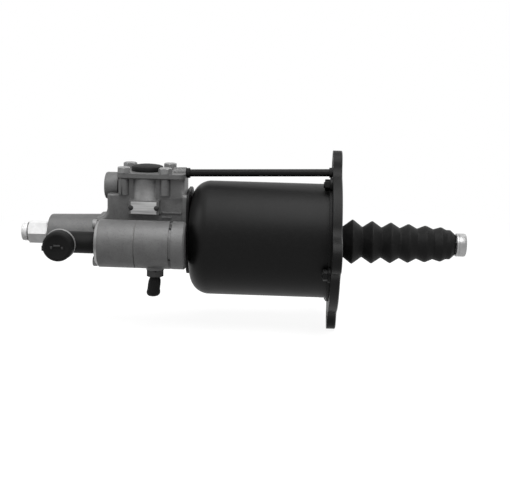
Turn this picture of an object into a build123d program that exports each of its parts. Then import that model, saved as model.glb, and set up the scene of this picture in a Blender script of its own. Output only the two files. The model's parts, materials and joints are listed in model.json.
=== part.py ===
"""Hydro-pneumatic clutch servo of a truck, in millimetres.

The origin is the centre of the mounting face. The push rod moves along X and comes out towards +X,
and +Z is up. The hydraulic cylinder, the servo cylinder and the push rod share the X axis. The side
barrel with the relay valve lies in front of it, on its own axis.
"""

from build123d import *
from math import radians, tan
import os

os.makedirs("parts", exist_ok=True)

# Clearances, and how far forms of one piece reach into each other
running_clearance = 0.05
fit_clearance = 0.05
bolt_clearance = 0.3
stop_gap = 0.3
spring_seat_gap = 0.1
screw_end_gap = 1.0
overlap = 1.0

# Strokes: the servo piston, the relay piston and the inlet poppet, with what is left at their ends
stroke = 70.0
stroke_reserve = 2.2
bore_reserve = 6.2
relay_stroke = 3.0
poppet_stroke = 2.0
valve_reserve = 0.1

# Mounting flange
flange_thickness = 9.0
flange_margin = 14.7
lobe_centre_from_can = 17.2
lobe_radius = 16.5
lobe_blend = 18.0
mounting_from_can = 19.2
mounting_hole = 11.0
flange_bolt_from_can = 6.2
flange_bolt = 6.0
flange_bolt_angle = 20.0
flange_nut_height = 5.0
flange_nut_flats = 10.0
flange_chamfer = 0.8
sink_clearance = 0.2
head_clearance = 0.1
head_sink = 0.3
flange_bolt_past_nut = 1.0
pilot_depth = 3.0
pilot_width = 6.5
relief_depth = 1.0
relief_clearance = 1.3

# Servo cylinder and the plate behind it
can_radius = 56.8
can_wall = 2.5
can_seat_radius = 33.5
can_crown_angle = 5.0
can_knuckle = 19.0
can_rim = 2.5
can_rim_proud = 3.5
can_ear_radius = 7.0
base_plate_thickness = 3.0
base_plate_side = 5.1
base_plate_height = 84.0
base_plate_corner = 14.0
base_plate_rise = 7.0
base_plate_chamfer = 0.8

# Housing casting
bore_radius = 12.7
extension_end_rounding = 3.0
extension_end_radius = 18.5
extension_root_radius = 20.3
body_length = 78.5
body_width = 42.0
body_top = 44.0
body_bottom = -22.0
body_corner = 4.0
body_top_rounding = 2.0
foot_flange = 4.0
foot_flange_proud = 1.5
cylinder_bolt_circle = 50.0
cylinder_bolt = 6.0
cylinder_bolt_depth = 11.0
cylinder_bolt_head_radius = 5.0
web_arc = 11.0
web_foot = 19.4
spigot_radius = 19.9
spigot_length = 8.0
spigot_ring = 2.0
spigot_ring_squeeze = 0.1
column_from_face = 41.5
tower_from_face = 2.5
tower_foot = 3.0
tower_over_can = 3.2
column_radius = 15.5
column_offset = 10.0
column_chamber_radius = 12.0
column_chamber_depth = 26.0
boss_radius = 5.3
ledge_length = 19.0
ledge_height = 1.4
ledge_proud = 1.2
ledge_level = 27.0
ledge_from_face = 5.0
low_ledge_length = 9.5
low_ledge_level = 22.5
low_ledge_from_face = 14.5

# Air inlet boss
inlet_boss_radius = 13.5
inlet_boss_reach = 83.0
inlet_rim = 2.0
inlet_rim_shoulder = 0.6
inlet_boss_gap = 1.0
inlet_neck_radius = 10.4
inlet_neck_sink = 0.2
inlet_bore_radius = 7.25
inlet_bore_depth = 16.0

# Top cover
cover_bolt_spacing_x = 40.6
cover_bolt_spacing_y = 40.0
cover_bolt = 6.0
cover_bolt_flats = 12.0
cover_bolt_head = 5.6
cover_bolt_length = 16.0
bolt_head_chamfer = 0.7
cover_thickness = 4.5
cover_gasket = 0.8
cover_front_margin = 6.0
cover_end_margin = 1.4
cover_overhang = 0.6
cover_corner = 7.0
vent_radius = 15.8
vent_side_height = 5.0
vent_crown_height = 1.6
vent_shoulder_height = 1.3
vent_shoulder_radius = 9.5
vent_rounding = 1.2
vent_stem_radius = 7.0
vent_stem_length = 11.0
vent_stem_taper = 1.5
vent_stem_taper_length = 3.0

# Side barrel
barrel_gap = 2.0
barrel_radius = 23.0
barrel_joint_from_face = 44.8
barrel_past_face = 2.5
barrel_scoop_radius = 50.5
cover_barrel_length = 37.9
barrel_chamfer = 3.0
barrel_end_chamfer = 1.5
barrel_gasket = 0.6
barrel_gasket_margin = 0.4
barrel_groove_from_face = 10.2
barrel_groove_width = 2.5
barrel_groove_depth = 1.3
barrel_bridge_height = 32.0
barrel_screw_from_edge = 5.0
barrel_screw = 6.0
barrel_screw_head_radius = 4.9
barrel_screw_head = 4.0
barrel_screw_chamfer = 0.6
barrel_screw_socket = 5.0
barrel_screw_socket_depth = 2.4
barrel_screw_grip = 12.0

# Relay valve
relay_bore_radius = 8.0
relay_chamber_wall = 10.0
relay_chamber_depth = 9.0
relay_nose_radius = 5.0
relay_end_room = 3.0
relay_collar_gap = 2.5
relay_collar_width = 2.0
relay_body_length = 18.0
relay_seal_width = 3.0
relay_seal_height = 2.4
poppet_head_radius = 9.0
poppet_head_thickness = 3.0
poppet_stem_radius = 6.0
poppet_bore_radius = 3.5
seat_radius = 7.0
seat_thickness = 4.0
seat_from_joint = 4.0
poppet_guide_length = 11.0
valve_end_wall = 7.0
exhaust_bore_radius = 8.0
relay_wire = 1.2
relay_coil_inset = 0.4
poppet_wire = 1.2
poppet_coil_gap = 0.8
valve_spring_turns = 4

# Exhaust elbow and cap
elbow_radius = 10.5
elbow_wall = 2.0
elbow_socket_depth = 4.5
elbow_corner_from_barrel = 33.3
elbow_reach = 20.0
elbow_collar_radius = 12.2
elbow_collar_length = 9.2
clamp_ring_radius = 14.9
clamp_ring_width = 2.4
cap_radius = 14.3
cap_front_reach = 26.4
cap_thickness = 13.0
cap_wall = 2.0
cap_rounding = 2.5
cap_bar_length = 9.0
cap_bar_width = 2.4
cap_bar_height = 0.6

# Bleed screw
bleed_from_face = 27.2
bleed_thread_radius = 4.5
bleed_thread_length = 9.0
bleed_flats = 16.0
bleed_hex_height = 6.5
bleed_seat_proud = 1.2
bleed_seat_margin = 0.6
bleed_nipple_radius = 4.2
bleed_nipple_length = 15.0
bleed_nipple_taper = 1.2
bleed_nipple_taper_length = 5.0
bleed_passage_radius = 1.2
bleed_cap_from_hex = 3.5
bleed_cap_radius = 6.2
bleed_cap_length = 16.5
bleed_cap_bulge = 7.2
bleed_cap_bulge_length = 9.0
bleed_cap_bulge_slope = 4.0
bleed_cap_rounding = 2.0

# Name plate
name_plate_length = 25.0
name_plate_height = 12.0
name_plate_thickness = 0.8
name_plate_level = 32.0
plate_pad_margin = 2.0
plate_pad_end_margin = 3.4
plate_pad_proud = 0.3
plate_pad_draft = 12
rivet_radius = 1.8
rivet_head_radius = 2.5
rivet_head_height = 1.0
rivet_head_taper = 30

# Hydraulic adapter
adapter_flats = 20.7
adapter_hex_length = 19.5
adapter_hex_corner = 1.7
adapter_chamfer = 1.0
adapter_thread_radius = 8.0
adapter_thread_length = 13.0
adapter_seat_depth = 15.5
adapter_collar_radius = 9.2
adapter_collar_length = 7.0
adapter_groove = 0.9
adapter_groove_depth = 1.0
adapter_port_radius = 5.25
adapter_port_depth = 12.0
adapter_passage_radius = 3.0
washer_thickness = 1.5
washer_radius = 10.2

# Breather tube
tube_radius = 3.6
tube_wall = 1.0
tube_left_y = -6.0
tube_over_tower = 4.9
tube_right_y = -14.0
tube_right_over_can = 13.6
tube_boss_radius = 5.6
tube_boss_length = 12.0
tube_depth = 8.0
tube_flange_depth = 5.0
tube_seal_radius = 4.9
tube_seal_length = 3.0
tube_vent_radius = 2.0
tube_end_gap = 1.0
tube_seal_gap = 0.4

# Servo piston and plunger
piston_width = 16.0
piston_web = 6.0
piston_rim = 6.4
piston_seal_width = 5.0
piston_seal_height = 5.0
piston_seal_from_left = 3.5
piston_lip_width = 1.2
piston_lip_slope = 2.4
piston_lip_floor = 2.0
guide_ring_width = 3.0
guide_ring_height = 2.0
guide_ring_from_right = 2.2
hub_radius = 17.0
hub_bore_radius = 12.0
hub_length = 47.0
hub_end_wall = 6.0
plunger_head_length = 26.0
plunger_head_gap = 6.5
plunger_chamfer = 1.0
plunger_seal_from_left = 6.0
plunger_shank_radius = 9.0
plunger_stub_radius = 6.0
plunger_seal_width = 4.0
plunger_seal_height = 3.2
plunger_guide_radius = 16.0
plunger_guide_length = 16.0
shank_seal_width = 4.0
guide_circlip_width = 1.5
guide_circlip_height = 1.6
guide_circlip_gap = 7.0
guide_circlip_gap_depth = 3.0
guide_end_land = 1.8

# Preload spring
preload_radius = 36.0
preload_wire = 4.4
preload_turns = 6

# Push rod
rod_radius = 8.0
rod_ball_radius = 9.5
rod_neck_radius = 6.0
rod_seat_length = 12.0
rod_retainer_width = 2.5
rod_retainer_radius = 8.6
rod_retainer_offset = 4.5
rod_neck_length = 12.0
rod_neck_cone = 2.0
rod_tip_radius = 11.5
rod_tip_length = 10.0
rod_tip_chamfer = 1.2
rod_tip_inner_chamfer = 0.6
rod_tip_stub_radius = 5.0
rod_tip_stub_length = 14.0
rod_tip_cup_radius = 6.5
rod_tip_cup_depth = 6.0

# Bellows
bellows_wall = 1.8
bellows_neck_radius = 15.0
bellows_lip_radius = 17.5
bellows_lip_width = 2.2
bellows_collar_radius = 16.6
bellows_collar_width = 2.6
bellows_collar_slope = 0.8
bellows_fillet = 0.9
bellows_crest_wall = 2.25
convolutions = 6
first_crest = 13.4
first_pitch = 19.6
pitch_loss = 1.0
first_crest_radius = 21.2
crest_loss = 0.94
valley_radius = 14.2
cuff_radius = 14.0
cuff_length = 4.2
cuff_gap = 4.8
cuff_end_radius = 9.6
cuff_chamfer = 5.2
cuff_step = 1.0
rod_past_cuff = 0.4

# Places that follow from the sizes above: the stroke sets how far the pieces behind it lie, and the
# can's radius sets how far out the flange, the tower and the breather tube reach
flange_back = -flange_thickness
can_inner_radius = can_radius - can_wall
flange_radius = can_radius + flange_margin
lobe_centre_radius = can_radius + lobe_centre_from_can
mounting_circle = 2 * (can_radius + mounting_from_can)
flange_bolt_circle = 2 * (can_radius + flange_bolt_from_can)
base_plate_width = 2 * (spigot_radius + base_plate_side)
tower_top = can_radius + tower_over_can
inlet_boss_height = tower_top - inlet_neck_radius - inlet_neck_sink
tube_left_height = tower_top + tube_over_tower
tube_right_height = can_radius + tube_right_over_can
piston_right = flange_back - pilot_depth - stop_gap
web_right = piston_right - (piston_width - piston_web) / 2
web_left = web_right - piston_web
hub_left = web_left - hub_length
spigot_end = hub_left - stroke - stroke_reserve
housing_face = spigot_end - spigot_length
can_seat_x = housing_face + base_plate_thickness
guide_right = spigot_end - guide_end_land - guide_circlip_width
guide_left = guide_right - plunger_guide_length
shank_seal_left = guide_left - shank_seal_width
head_right = shank_seal_left - plunger_head_gap
head_left = head_right - plunger_head_length
bore_end = head_left - stroke - bore_reserve
extension_end = bore_end - adapter_seat_depth
body_left = housing_face - body_length
tower_right = housing_face - tower_from_face
column_x = housing_face - column_from_face
tower_left = column_x - cover_bolt_spacing_x / 2 - boss_radius
barrel_y = -(body_width / 2 + barrel_gap + barrel_radius)
barrel_screw_radius = barrel_radius - barrel_screw_from_edge
relay_chamber_radius = barrel_radius - relay_chamber_wall
relay_collar_radius = relay_chamber_radius - relay_collar_gap
barrel_joint = housing_face - barrel_joint_from_face
barrel_right = housing_face + barrel_past_face
barrel_cover_right = barrel_joint - barrel_gasket
barrel_left = barrel_cover_right - cover_barrel_length
barrel_axis = Plane(origin=(0, barrel_y, 0), x_dir=(1, 0, 0), z_dir=(0, -1, 0))
bleed_x = housing_face - bleed_from_face
body_front = -body_width / 2
pad_front = -column_offset - column_radius - plate_pad_proud
cover_base = tower_top + cover_gasket
cover_top = cover_base + cover_thickness
relief_radius = first_crest_radius + relief_clearance


def turn(*points, axis_plane=Plane.XZ, mode=Mode.ADD):
    """Revolve a closed outline of (place along the axis, radius) points."""
    with BuildSketch(axis_plane) as outline:
        with BuildLine():
            Polyline(*points, close=True)
        make_face()
    revolve(outline.sketch, axis=Axis(axis_plane.origin, axis_plane.x_dir), mode=mode)


def rod(start, end, radius, bore=0.0, axis_plane=Plane.XZ, mode=Mode.ADD):
    """A cylinder or a tube along the axis of a plane."""
    turn((start, bore), (start, radius), (end, radius), (end, bore), axis_plane=axis_plane, mode=mode)


def coil(start, end, radius, wire, turns, axis_y=0.0):
    """A compression spring of round wire along X, between two planes."""
    length = end - start - wire
    with BuildLine() as centre_line:
        Helix(
            pitch=length / turns,
            height=length,
            radius=radius,
            center=(start + wire / 2, axis_y, 0),
            direction=(1, 0, 0),
        )
    with BuildSketch(Plane(origin=centre_line.line @ 0, z_dir=centre_line.line % 0)) as section:
        Circle(wire / 2)
    sweep(section.sketch, path=centre_line.line, is_frenet=True)


def finish(part, name):
    """Name a piece and write it."""
    part.part.label = name
    export_step(part.part, f"parts/{name}.step")


# Servo cylinder: a deep-drawn can with a rolled rim and four ears at its open end
crown_run = (can_radius - can_seat_radius) * tan(radians(can_crown_angle))
# The knuckle leaves the preload spring its seat
knuckle_radius = min(can_knuckle, can_radius - preload_radius)
with BuildPart() as servo_cylinder:
    with BuildSketch(Plane.XZ) as can_outline:
        with BuildLine():
            Polyline(
                (can_seat_x, 0),
                (can_seat_x, can_seat_radius),
                (can_seat_x + crown_run, can_radius),
                (flange_back, can_radius),
                (flange_back, 0),
                close=True,
            )
        make_face()
        fillet(can_outline.vertices().group_by(Axis.Y)[-1].sort_by(Axis.X)[0], knuckle_radius)
    revolve(axis=Axis.X)
    offset(amount=-can_wall, openings=servo_cylinder.faces().sort_by(Axis.X)[-1])
    rod(can_seat_x, can_seat_x + can_wall, spigot_radius + fit_clearance, mode=Mode.SUBTRACT)
    rod(flange_back - can_rim, flange_back, can_radius + can_rim_proud, bore=can_inner_radius)
    with BuildSketch(Plane.YZ.offset(flange_back - can_rim)) as ears:
        with PolarLocations(flange_bolt_circle / 2, 4, start_angle=flange_bolt_angle):
            Circle(can_ear_radius)
        Circle(can_inner_radius, mode=Mode.SUBTRACT)
    extrude(amount=can_rim)
    with BuildSketch(Plane.YZ.offset(flange_back - can_rim)) as ear_holes:
        with PolarLocations(flange_bolt_circle / 2, 4, start_angle=flange_bolt_angle):
            Circle(flange_bolt / 2 + fit_clearance)
    extrude(amount=can_rim, mode=Mode.SUBTRACT)
    with BuildSketch(Plane.YZ.offset(can_seat_x)) as can_bolt_holes:
        with PolarLocations(cylinder_bolt_circle / 2, 4, start_angle=45):
            Circle(cylinder_bolt / 2 + fit_clearance)
    extrude(amount=can_wall, mode=Mode.SUBTRACT)
finish(servo_cylinder, "servo_cylinder")

# Stiffening plate between the casting and the can
with BuildPart() as cylinder_base_plate:
    with BuildSketch(Plane.YZ.offset(housing_face)):
        with Locations((0, base_plate_rise)):
            RectangleRounded(base_plate_width, base_plate_height, base_plate_corner)
        Circle(spigot_radius + fit_clearance, mode=Mode.SUBTRACT)
        with PolarLocations(cylinder_bolt_circle / 2, 4, start_angle=45):
            Circle(cylinder_bolt / 2 + fit_clearance, mode=Mode.SUBTRACT)
    extrude(amount=base_plate_thickness)
    chamfer(cylinder_base_plate.faces().sort_by(Axis.X)[-1].outer_wire().edges(), base_plate_chamfer)
finish(cylinder_base_plate, "cylinder_base_plate")

# Housing: one casting with the hydraulic cylinder, the column, the inlet boss and half of the barrel
relay_step = barrel_joint + relay_chamber_depth
relay_body_left = relay_step - stop_gap
relay_body_right = relay_body_left + relay_body_length
groove_left = housing_face - barrel_groove_from_face - barrel_groove_width
bleed_seat_z = -barrel_radius - bleed_seat_proud
ring_centre = housing_face + base_plate_thickness / 2
inlet_boss_left = housing_face - inlet_boss_reach
inlet_boss_right = tower_left - cover_end_margin - inlet_boss_gap
with BuildPart() as body_block:
    # The left wall sweeps down onto the hydraulic cylinder
    with BuildSketch(Plane.XZ):
        with BuildLine():
            arc_foot = Line((body_left - web_arc, 0), (body_left - web_arc, web_foot))
            arc_flank = CenterArc((body_left - web_arc, web_foot + web_arc), web_arc, 270, 90)
            Polyline(
                arc_flank @ 1,
                (body_left, body_top),
                (housing_face, body_top),
                (housing_face, body_bottom),
                (body_left, body_bottom),
                (body_left, 0),
                arc_foot @ 0,
            )
        make_face()
    extrude(amount=body_width / 2, both=True)
    flank_edges = body_block.edges().filter_by_position(Axis.X, body_left - web_arc, body_left)
    flank_edges = flank_edges.filter_by_position(Axis.Z, web_foot, body_top)
    fillet(flank_edges.group_by(Axis.Y)[0] + flank_edges.group_by(Axis.Y)[-1], body_corner)
    low_edges = body_block.edges().filter_by(Axis.Z).filter_by_position(Axis.Z, body_bottom, 0)
    fillet(low_edges.group_by(Axis.X)[0], body_corner)
    fillet(body_block.faces().sort_by(Axis.Z)[-1].edges(), body_top_rounding)

inlet_axis = Plane(origin=(0, 0, inlet_boss_height), x_dir=(1, 0, 0), z_dir=(0, -1, 0))
with BuildPart() as main_housing:
    turn(
        (extension_end, 0),
        (extension_end, extension_end_radius),
        (body_left, extension_root_radius),
        (housing_face, extension_root_radius),
        (housing_face, 0),
    )
    fillet(main_housing.faces().sort_by(Axis.X)[0].edges(), extension_end_rounding)
    add(body_block.part)
    # Walls, bosses and the round column that carry the top cover
    with BuildSketch(Plane.XY.offset(body_top - tower_foot)):
        with Locations(((tower_left + tower_right) / 2, 0)):
            RectangleRounded(tower_right - tower_left, body_width, body_corner)
    extrude(amount=tower_top - body_top + tower_foot)
    with BuildSketch(Plane.XY.offset(name_plate_level)):
        with Locations((column_x, -column_offset), (column_x, column_offset)):
            Circle(column_radius)
    extrude(amount=tower_top - name_plate_level)
    with BuildSketch(Plane.XY.offset(body_top)):
        with Locations((column_x, 0)):
            with GridLocations(cover_bolt_spacing_x, cover_bolt_spacing_y, 2, 2):
                Circle(boss_radius)
    extrude(amount=tower_top - body_top)
    # Pad for the name plate at the foot of the column
    with BuildSketch(Plane.XZ.offset(-body_front)):
        with Locations((column_x, name_plate_level)):
            RectangleRounded(
                name_plate_length + 2 * plate_pad_end_margin,
                name_plate_height + 2 * plate_pad_margin,
                plate_pad_margin,
            )
    extrude(amount=body_front - pad_front, taper=plate_pad_draft)
    # Casting ledges right of the name plate
    with BuildSketch(Plane.XZ.offset(-body_front)):
        with Locations((housing_face - ledge_from_face - ledge_length / 2, ledge_level)):
            Rectangle(ledge_length, ledge_height)
        with Locations((housing_face - low_ledge_from_face - low_ledge_length / 2, low_ledge_level)):
            Rectangle(low_ledge_length, ledge_height)
    extrude(amount=ledge_proud)
    # Air inlet boss with a rounded rim, on a narrower neck
    turn(
        (inlet_boss_left, 0),
        (inlet_boss_left, inlet_boss_radius - inlet_rim),
        (inlet_boss_left + inlet_rim_shoulder, inlet_boss_radius - inlet_rim_shoulder),
        (inlet_boss_left + inlet_rim, inlet_boss_radius),
        (inlet_boss_right, inlet_boss_radius),
        (inlet_boss_right, 0),
        axis_plane=inlet_axis,
    )
    with BuildSketch(Plane.YZ.offset(inlet_boss_right)):
        with Locations((0, inlet_boss_height)):
            Circle(inlet_neck_radius)
    extrude(amount=tower_left - inlet_boss_right + body_corner)
    # Foot flange against the base plate, and the spigot in the can
    with BuildSketch(Plane.YZ.offset(housing_face - foot_flange)):
        with Locations((0, (body_top + body_bottom) / 2)):
            RectangleRounded(
                body_width + 2 * foot_flange_proud,
                body_top - body_bottom + 2 * foot_flange_proud,
                body_corner,
            )
    extrude(amount=foot_flange)
    rod(housing_face, spigot_end, spigot_radius)
    # Right half of the side barrel with its groove, on a bridge to the body
    turn(
        (barrel_joint, 0),
        (barrel_joint, barrel_radius),
        (groove_left, barrel_radius),
        (groove_left, barrel_radius - barrel_groove_depth),
        (groove_left + barrel_groove_width, barrel_radius - barrel_groove_depth),
        (groove_left + barrel_groove_width, barrel_radius),
        (barrel_right - barrel_end_chamfer, barrel_radius),
        (barrel_right, barrel_radius - barrel_end_chamfer),
        (barrel_right, 0),
        axis_plane=barrel_axis,
    )
    rod(housing_face, barrel_right, barrel_scoop_radius, bore=spigot_radius + overlap, mode=Mode.SUBTRACT)
    with BuildSketch(Plane.YZ.offset(barrel_joint)):
        with Locations(((barrel_y + body_front + overlap) / 2, 0)):
            Rectangle(body_front + overlap - barrel_y, barrel_bridge_height)
    extrude(amount=housing_face - barrel_joint)
    with BuildSketch(Plane.XY.offset(bleed_seat_z)):
        with Locations((bleed_x, barrel_y)):
            Circle(bleed_flats / 2 + bleed_seat_margin)
    extrude(amount=barrel_radius / 2)
    # Bores of the hydraulic cylinder
    rod(bore_end, housing_face, bore_radius, mode=Mode.SUBTRACT)
    rod(shank_seal_left, spigot_end, plunger_guide_radius, mode=Mode.SUBTRACT)
    rod(
        guide_right,
        guide_right + guide_circlip_width,
        plunger_guide_radius + guide_circlip_height,
        mode=Mode.SUBTRACT,
    )
    rod(extension_end, bore_end, adapter_thread_radius, mode=Mode.SUBTRACT)
    rod(
        ring_centre - spigot_ring / 2,
        ring_centre + spigot_ring / 2,
        spigot_radius + overlap,
        bore=spigot_radius - spigot_ring + 2 * spigot_ring_squeeze,
        mode=Mode.SUBTRACT,
    )
    # Bores of the relay valve
    rod(barrel_joint, relay_step, relay_chamber_radius, axis_plane=barrel_axis, mode=Mode.SUBTRACT)
    rod(
        relay_step,
        relay_body_right + relay_end_room,
        relay_bore_radius,
        axis_plane=barrel_axis,
        mode=Mode.SUBTRACT,
    )
    with BuildSketch(Plane.YZ.offset(barrel_joint)):
        with Locations((barrel_y, barrel_screw_radius), (barrel_y, -barrel_screw_radius)):
            Circle(barrel_screw / 2)
    extrude(amount=barrel_screw_grip, mode=Mode.SUBTRACT)
    with BuildSketch(Plane.XY.offset(bleed_seat_z)):
        with Locations((bleed_x, barrel_y)):
            Circle(bleed_thread_radius)
    extrude(amount=bleed_thread_length, mode=Mode.SUBTRACT)
    # Exhaust chamber in the column, cover bolt holes, air inlet and can bolt holes
    with BuildSketch(Plane.XY.offset(tower_top)):
        with Locations((column_x, 0)):
            Circle(column_chamber_radius)
    extrude(amount=-column_chamber_depth, mode=Mode.SUBTRACT)
    with BuildSketch(Plane.XY.offset(tower_top)):
        with Locations((column_x, 0)):
            with GridLocations(cover_bolt_spacing_x, cover_bolt_spacing_y, 2, 2):
                Circle(cover_bolt / 2)
    extrude(amount=cover_top - cover_bolt_length - tower_top - screw_end_gap, mode=Mode.SUBTRACT)
    with BuildSketch(Plane.YZ.offset(inlet_boss_left)):
        with Locations((0, inlet_boss_height)):
            Circle(inlet_bore_radius)
    extrude(amount=inlet_bore_depth, mode=Mode.SUBTRACT)
    with BuildSketch(Plane.YZ.offset(housing_face)):
        with PolarLocations(cylinder_bolt_circle / 2, 4, start_angle=45):
            Circle(cylinder_bolt / 2)
    extrude(amount=-cylinder_bolt_depth, mode=Mode.SUBTRACT)
finish(main_housing, "main_housing")

# Side valve cover: left half of the barrel, with the exhaust socket in its end wall
with BuildPart() as side_valve_cover:
    turn(
        (barrel_left, 0),
        (barrel_left, barrel_radius - barrel_chamfer),
        (barrel_left + barrel_chamfer, barrel_radius),
        (barrel_cover_right, barrel_radius),
        (barrel_cover_right, 0),
        axis_plane=barrel_axis,
    )
    valve_room_left = barrel_left + valve_end_wall
    rod(barrel_left, barrel_cover_right, exhaust_bore_radius, axis_plane=barrel_axis, mode=Mode.SUBTRACT)
    rod(
        valve_room_left,
        barrel_cover_right,
        relay_chamber_radius,
        axis_plane=barrel_axis,
        mode=Mode.SUBTRACT,
    )
    rod(
        barrel_left,
        barrel_left + elbow_socket_depth,
        elbow_radius + fit_clearance,
        axis_plane=barrel_axis,
        mode=Mode.SUBTRACT,
    )
    with BuildSketch(Plane.YZ.offset(barrel_left)):
        with Locations((barrel_y, barrel_screw_radius), (barrel_y, -barrel_screw_radius)):
            Circle(barrel_screw / 2 + fit_clearance)
    extrude(amount=cover_barrel_length, mode=Mode.SUBTRACT)
finish(side_valve_cover, "side_valve_cover")

with BuildPart() as side_cover_gasket:
    with BuildSketch(Plane.YZ.offset(barrel_cover_right)):
        with Locations((barrel_y, 0)):
            Circle(barrel_radius - barrel_gasket_margin)
            Circle(relay_chamber_radius, mode=Mode.SUBTRACT)
        with Locations((barrel_y, barrel_screw_radius), (barrel_y, -barrel_screw_radius)):
            Circle(barrel_screw / 2 + fit_clearance, mode=Mode.SUBTRACT)
    extrude(amount=barrel_gasket)
finish(side_cover_gasket, "side_cover_gasket")

# Two socket-head screws that hold the side valve cover
with BuildPart() as side_cover_screws:
    with BuildSketch(Plane.YZ.offset(barrel_left)):
        with Locations((barrel_y, barrel_screw_radius), (barrel_y, -barrel_screw_radius)):
            Circle(barrel_screw_head_radius)
    extrude(amount=-barrel_screw_head)
    chamfer(side_cover_screws.faces().sort_by(Axis.X)[:2].edges(), barrel_screw_chamfer)
    with BuildSketch(Plane.YZ.offset(barrel_left)):
        with Locations((barrel_y, barrel_screw_radius), (barrel_y, -barrel_screw_radius)):
            Circle(barrel_screw / 2 - fit_clearance)
    extrude(amount=barrel_joint - barrel_left + barrel_screw_grip - screw_end_gap)
    with BuildSketch(Plane.YZ.offset(barrel_left - barrel_screw_head)):
        with Locations((barrel_y, barrel_screw_radius), (barrel_y, -barrel_screw_radius)):
            RegularPolygon(barrel_screw_socket / 2, 6, major_radius=False)
    extrude(amount=barrel_screw_socket_depth, mode=Mode.SUBTRACT)
finish(side_cover_screws, "side_cover_screws")

# Relay valve: ring seat, hollow inlet poppet in its guide, and the hydraulic relay piston
seat_right = barrel_joint - seat_from_joint
seat_left = seat_right - seat_thickness
with BuildPart() as valve_seat:
    rod(
        seat_left,
        seat_right,
        relay_chamber_radius - fit_clearance,
        bore=seat_radius,
        axis_plane=barrel_axis,
    )
finish(valve_seat, "valve_seat")

poppet_face = seat_left
poppet_back = poppet_face - poppet_head_thickness
with BuildPart() as inlet_poppet:
    rod(poppet_back, poppet_face, poppet_head_radius, bore=poppet_bore_radius, axis_plane=barrel_axis)
    rod(
        valve_room_left + poppet_stroke + valve_reserve,
        poppet_back,
        poppet_stem_radius,
        bore=poppet_bore_radius,
        axis_plane=barrel_axis,
    )
finish(inlet_poppet, "inlet_poppet")

guide_face = valve_room_left + poppet_guide_length
with BuildPart() as poppet_guide:
    rod(
        valve_room_left,
        guide_face,
        relay_chamber_radius - fit_clearance,
        bore=poppet_stem_radius + running_clearance,
        axis_plane=barrel_axis,
    )
finish(poppet_guide, "poppet_guide")

with BuildPart() as poppet_spring:
    poppet_coil_radius = poppet_stem_radius + poppet_wire / 2 + poppet_coil_gap
    coil(
        guide_face + spring_seat_gap,
        poppet_back - spring_seat_gap,
        poppet_coil_radius,
        poppet_wire,
        valve_spring_turns,
        axis_y=barrel_y,
    )
finish(poppet_spring, "poppet_spring")

relay_nose_tip = poppet_face + relay_stroke - poppet_stroke + valve_reserve
relay_collar_left = relay_body_left - relay_collar_width
relay_seal_left = (relay_body_left + relay_body_right) / 2
with BuildPart() as relay_piston:
    rod(relay_nose_tip, relay_collar_left, relay_nose_radius, axis_plane=barrel_axis)
    rod(relay_collar_left, relay_body_left, relay_collar_radius, axis_plane=barrel_axis)
    rod(
        relay_body_left,
        relay_body_right,
        relay_bore_radius - running_clearance,
        axis_plane=barrel_axis,
    )
    rod(
        relay_seal_left,
        relay_seal_left + relay_seal_width,
        relay_bore_radius,
        bore=relay_bore_radius - relay_seal_height,
        axis_plane=barrel_axis,
        mode=Mode.SUBTRACT,
    )
finish(relay_piston, "relay_piston")

with BuildPart() as relay_seal:
    rod(
        relay_seal_left + fit_clearance,
        relay_seal_left + relay_seal_width - fit_clearance,
        relay_bore_radius - running_clearance,
        bore=relay_bore_radius - relay_seal_height + fit_clearance,
        axis_plane=barrel_axis,
    )
finish(relay_seal, "relay_seal")

with BuildPart() as relay_spring:
    relay_coil_radius = relay_collar_radius - relay_wire / 2 - relay_coil_inset
    coil(
        seat_right + spring_seat_gap,
        relay_collar_left - spring_seat_gap,
        relay_coil_radius,
        relay_wire,
        valve_spring_turns,
        axis_y=barrel_y,
    )
finish(relay_spring, "relay_spring")

# Exhaust elbow: leaves the barrel along its axis and turns towards the front
corner_x = barrel_left - elbow_corner_from_barrel
outlet_axis = Plane(origin=(corner_x, 0, 0), x_dir=(0, -1, 0), z_dir=(0, 0, 1))
outlet_corner = -barrel_y
outlet_front = outlet_corner + elbow_reach
elbow_bore = elbow_radius - elbow_wall
with BuildPart() as exhaust_elbow:
    rod(corner_x, barrel_left + elbow_socket_depth, elbow_radius, axis_plane=barrel_axis)
    rod(outlet_corner, outlet_front, elbow_radius, axis_plane=outlet_axis)
    with Locations((corner_x, barrel_y, 0)):
        Sphere(elbow_radius)
    rod(outlet_front - elbow_collar_length, outlet_front, elbow_collar_radius, axis_plane=outlet_axis)
    rod(
        corner_x,
        barrel_left + elbow_socket_depth,
        elbow_bore,
        axis_plane=barrel_axis,
        mode=Mode.SUBTRACT,
    )
    rod(outlet_corner, outlet_front, elbow_bore, axis_plane=outlet_axis, mode=Mode.SUBTRACT)
    with Locations((corner_x, barrel_y, 0)):
        Sphere(elbow_bore, mode=Mode.SUBTRACT)
finish(exhaust_elbow, "exhaust_elbow")

cap_front = outlet_corner + cap_front_reach
cap_rear = cap_front - cap_thickness
with BuildPart() as elbow_clamp_ring:
    rod(
        cap_rear - clamp_ring_width,
        cap_rear,
        clamp_ring_radius,
        bore=elbow_collar_radius + fit_clearance,
        axis_plane=outlet_axis,
    )
finish(elbow_clamp_ring, "elbow_clamp_ring")

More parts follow.
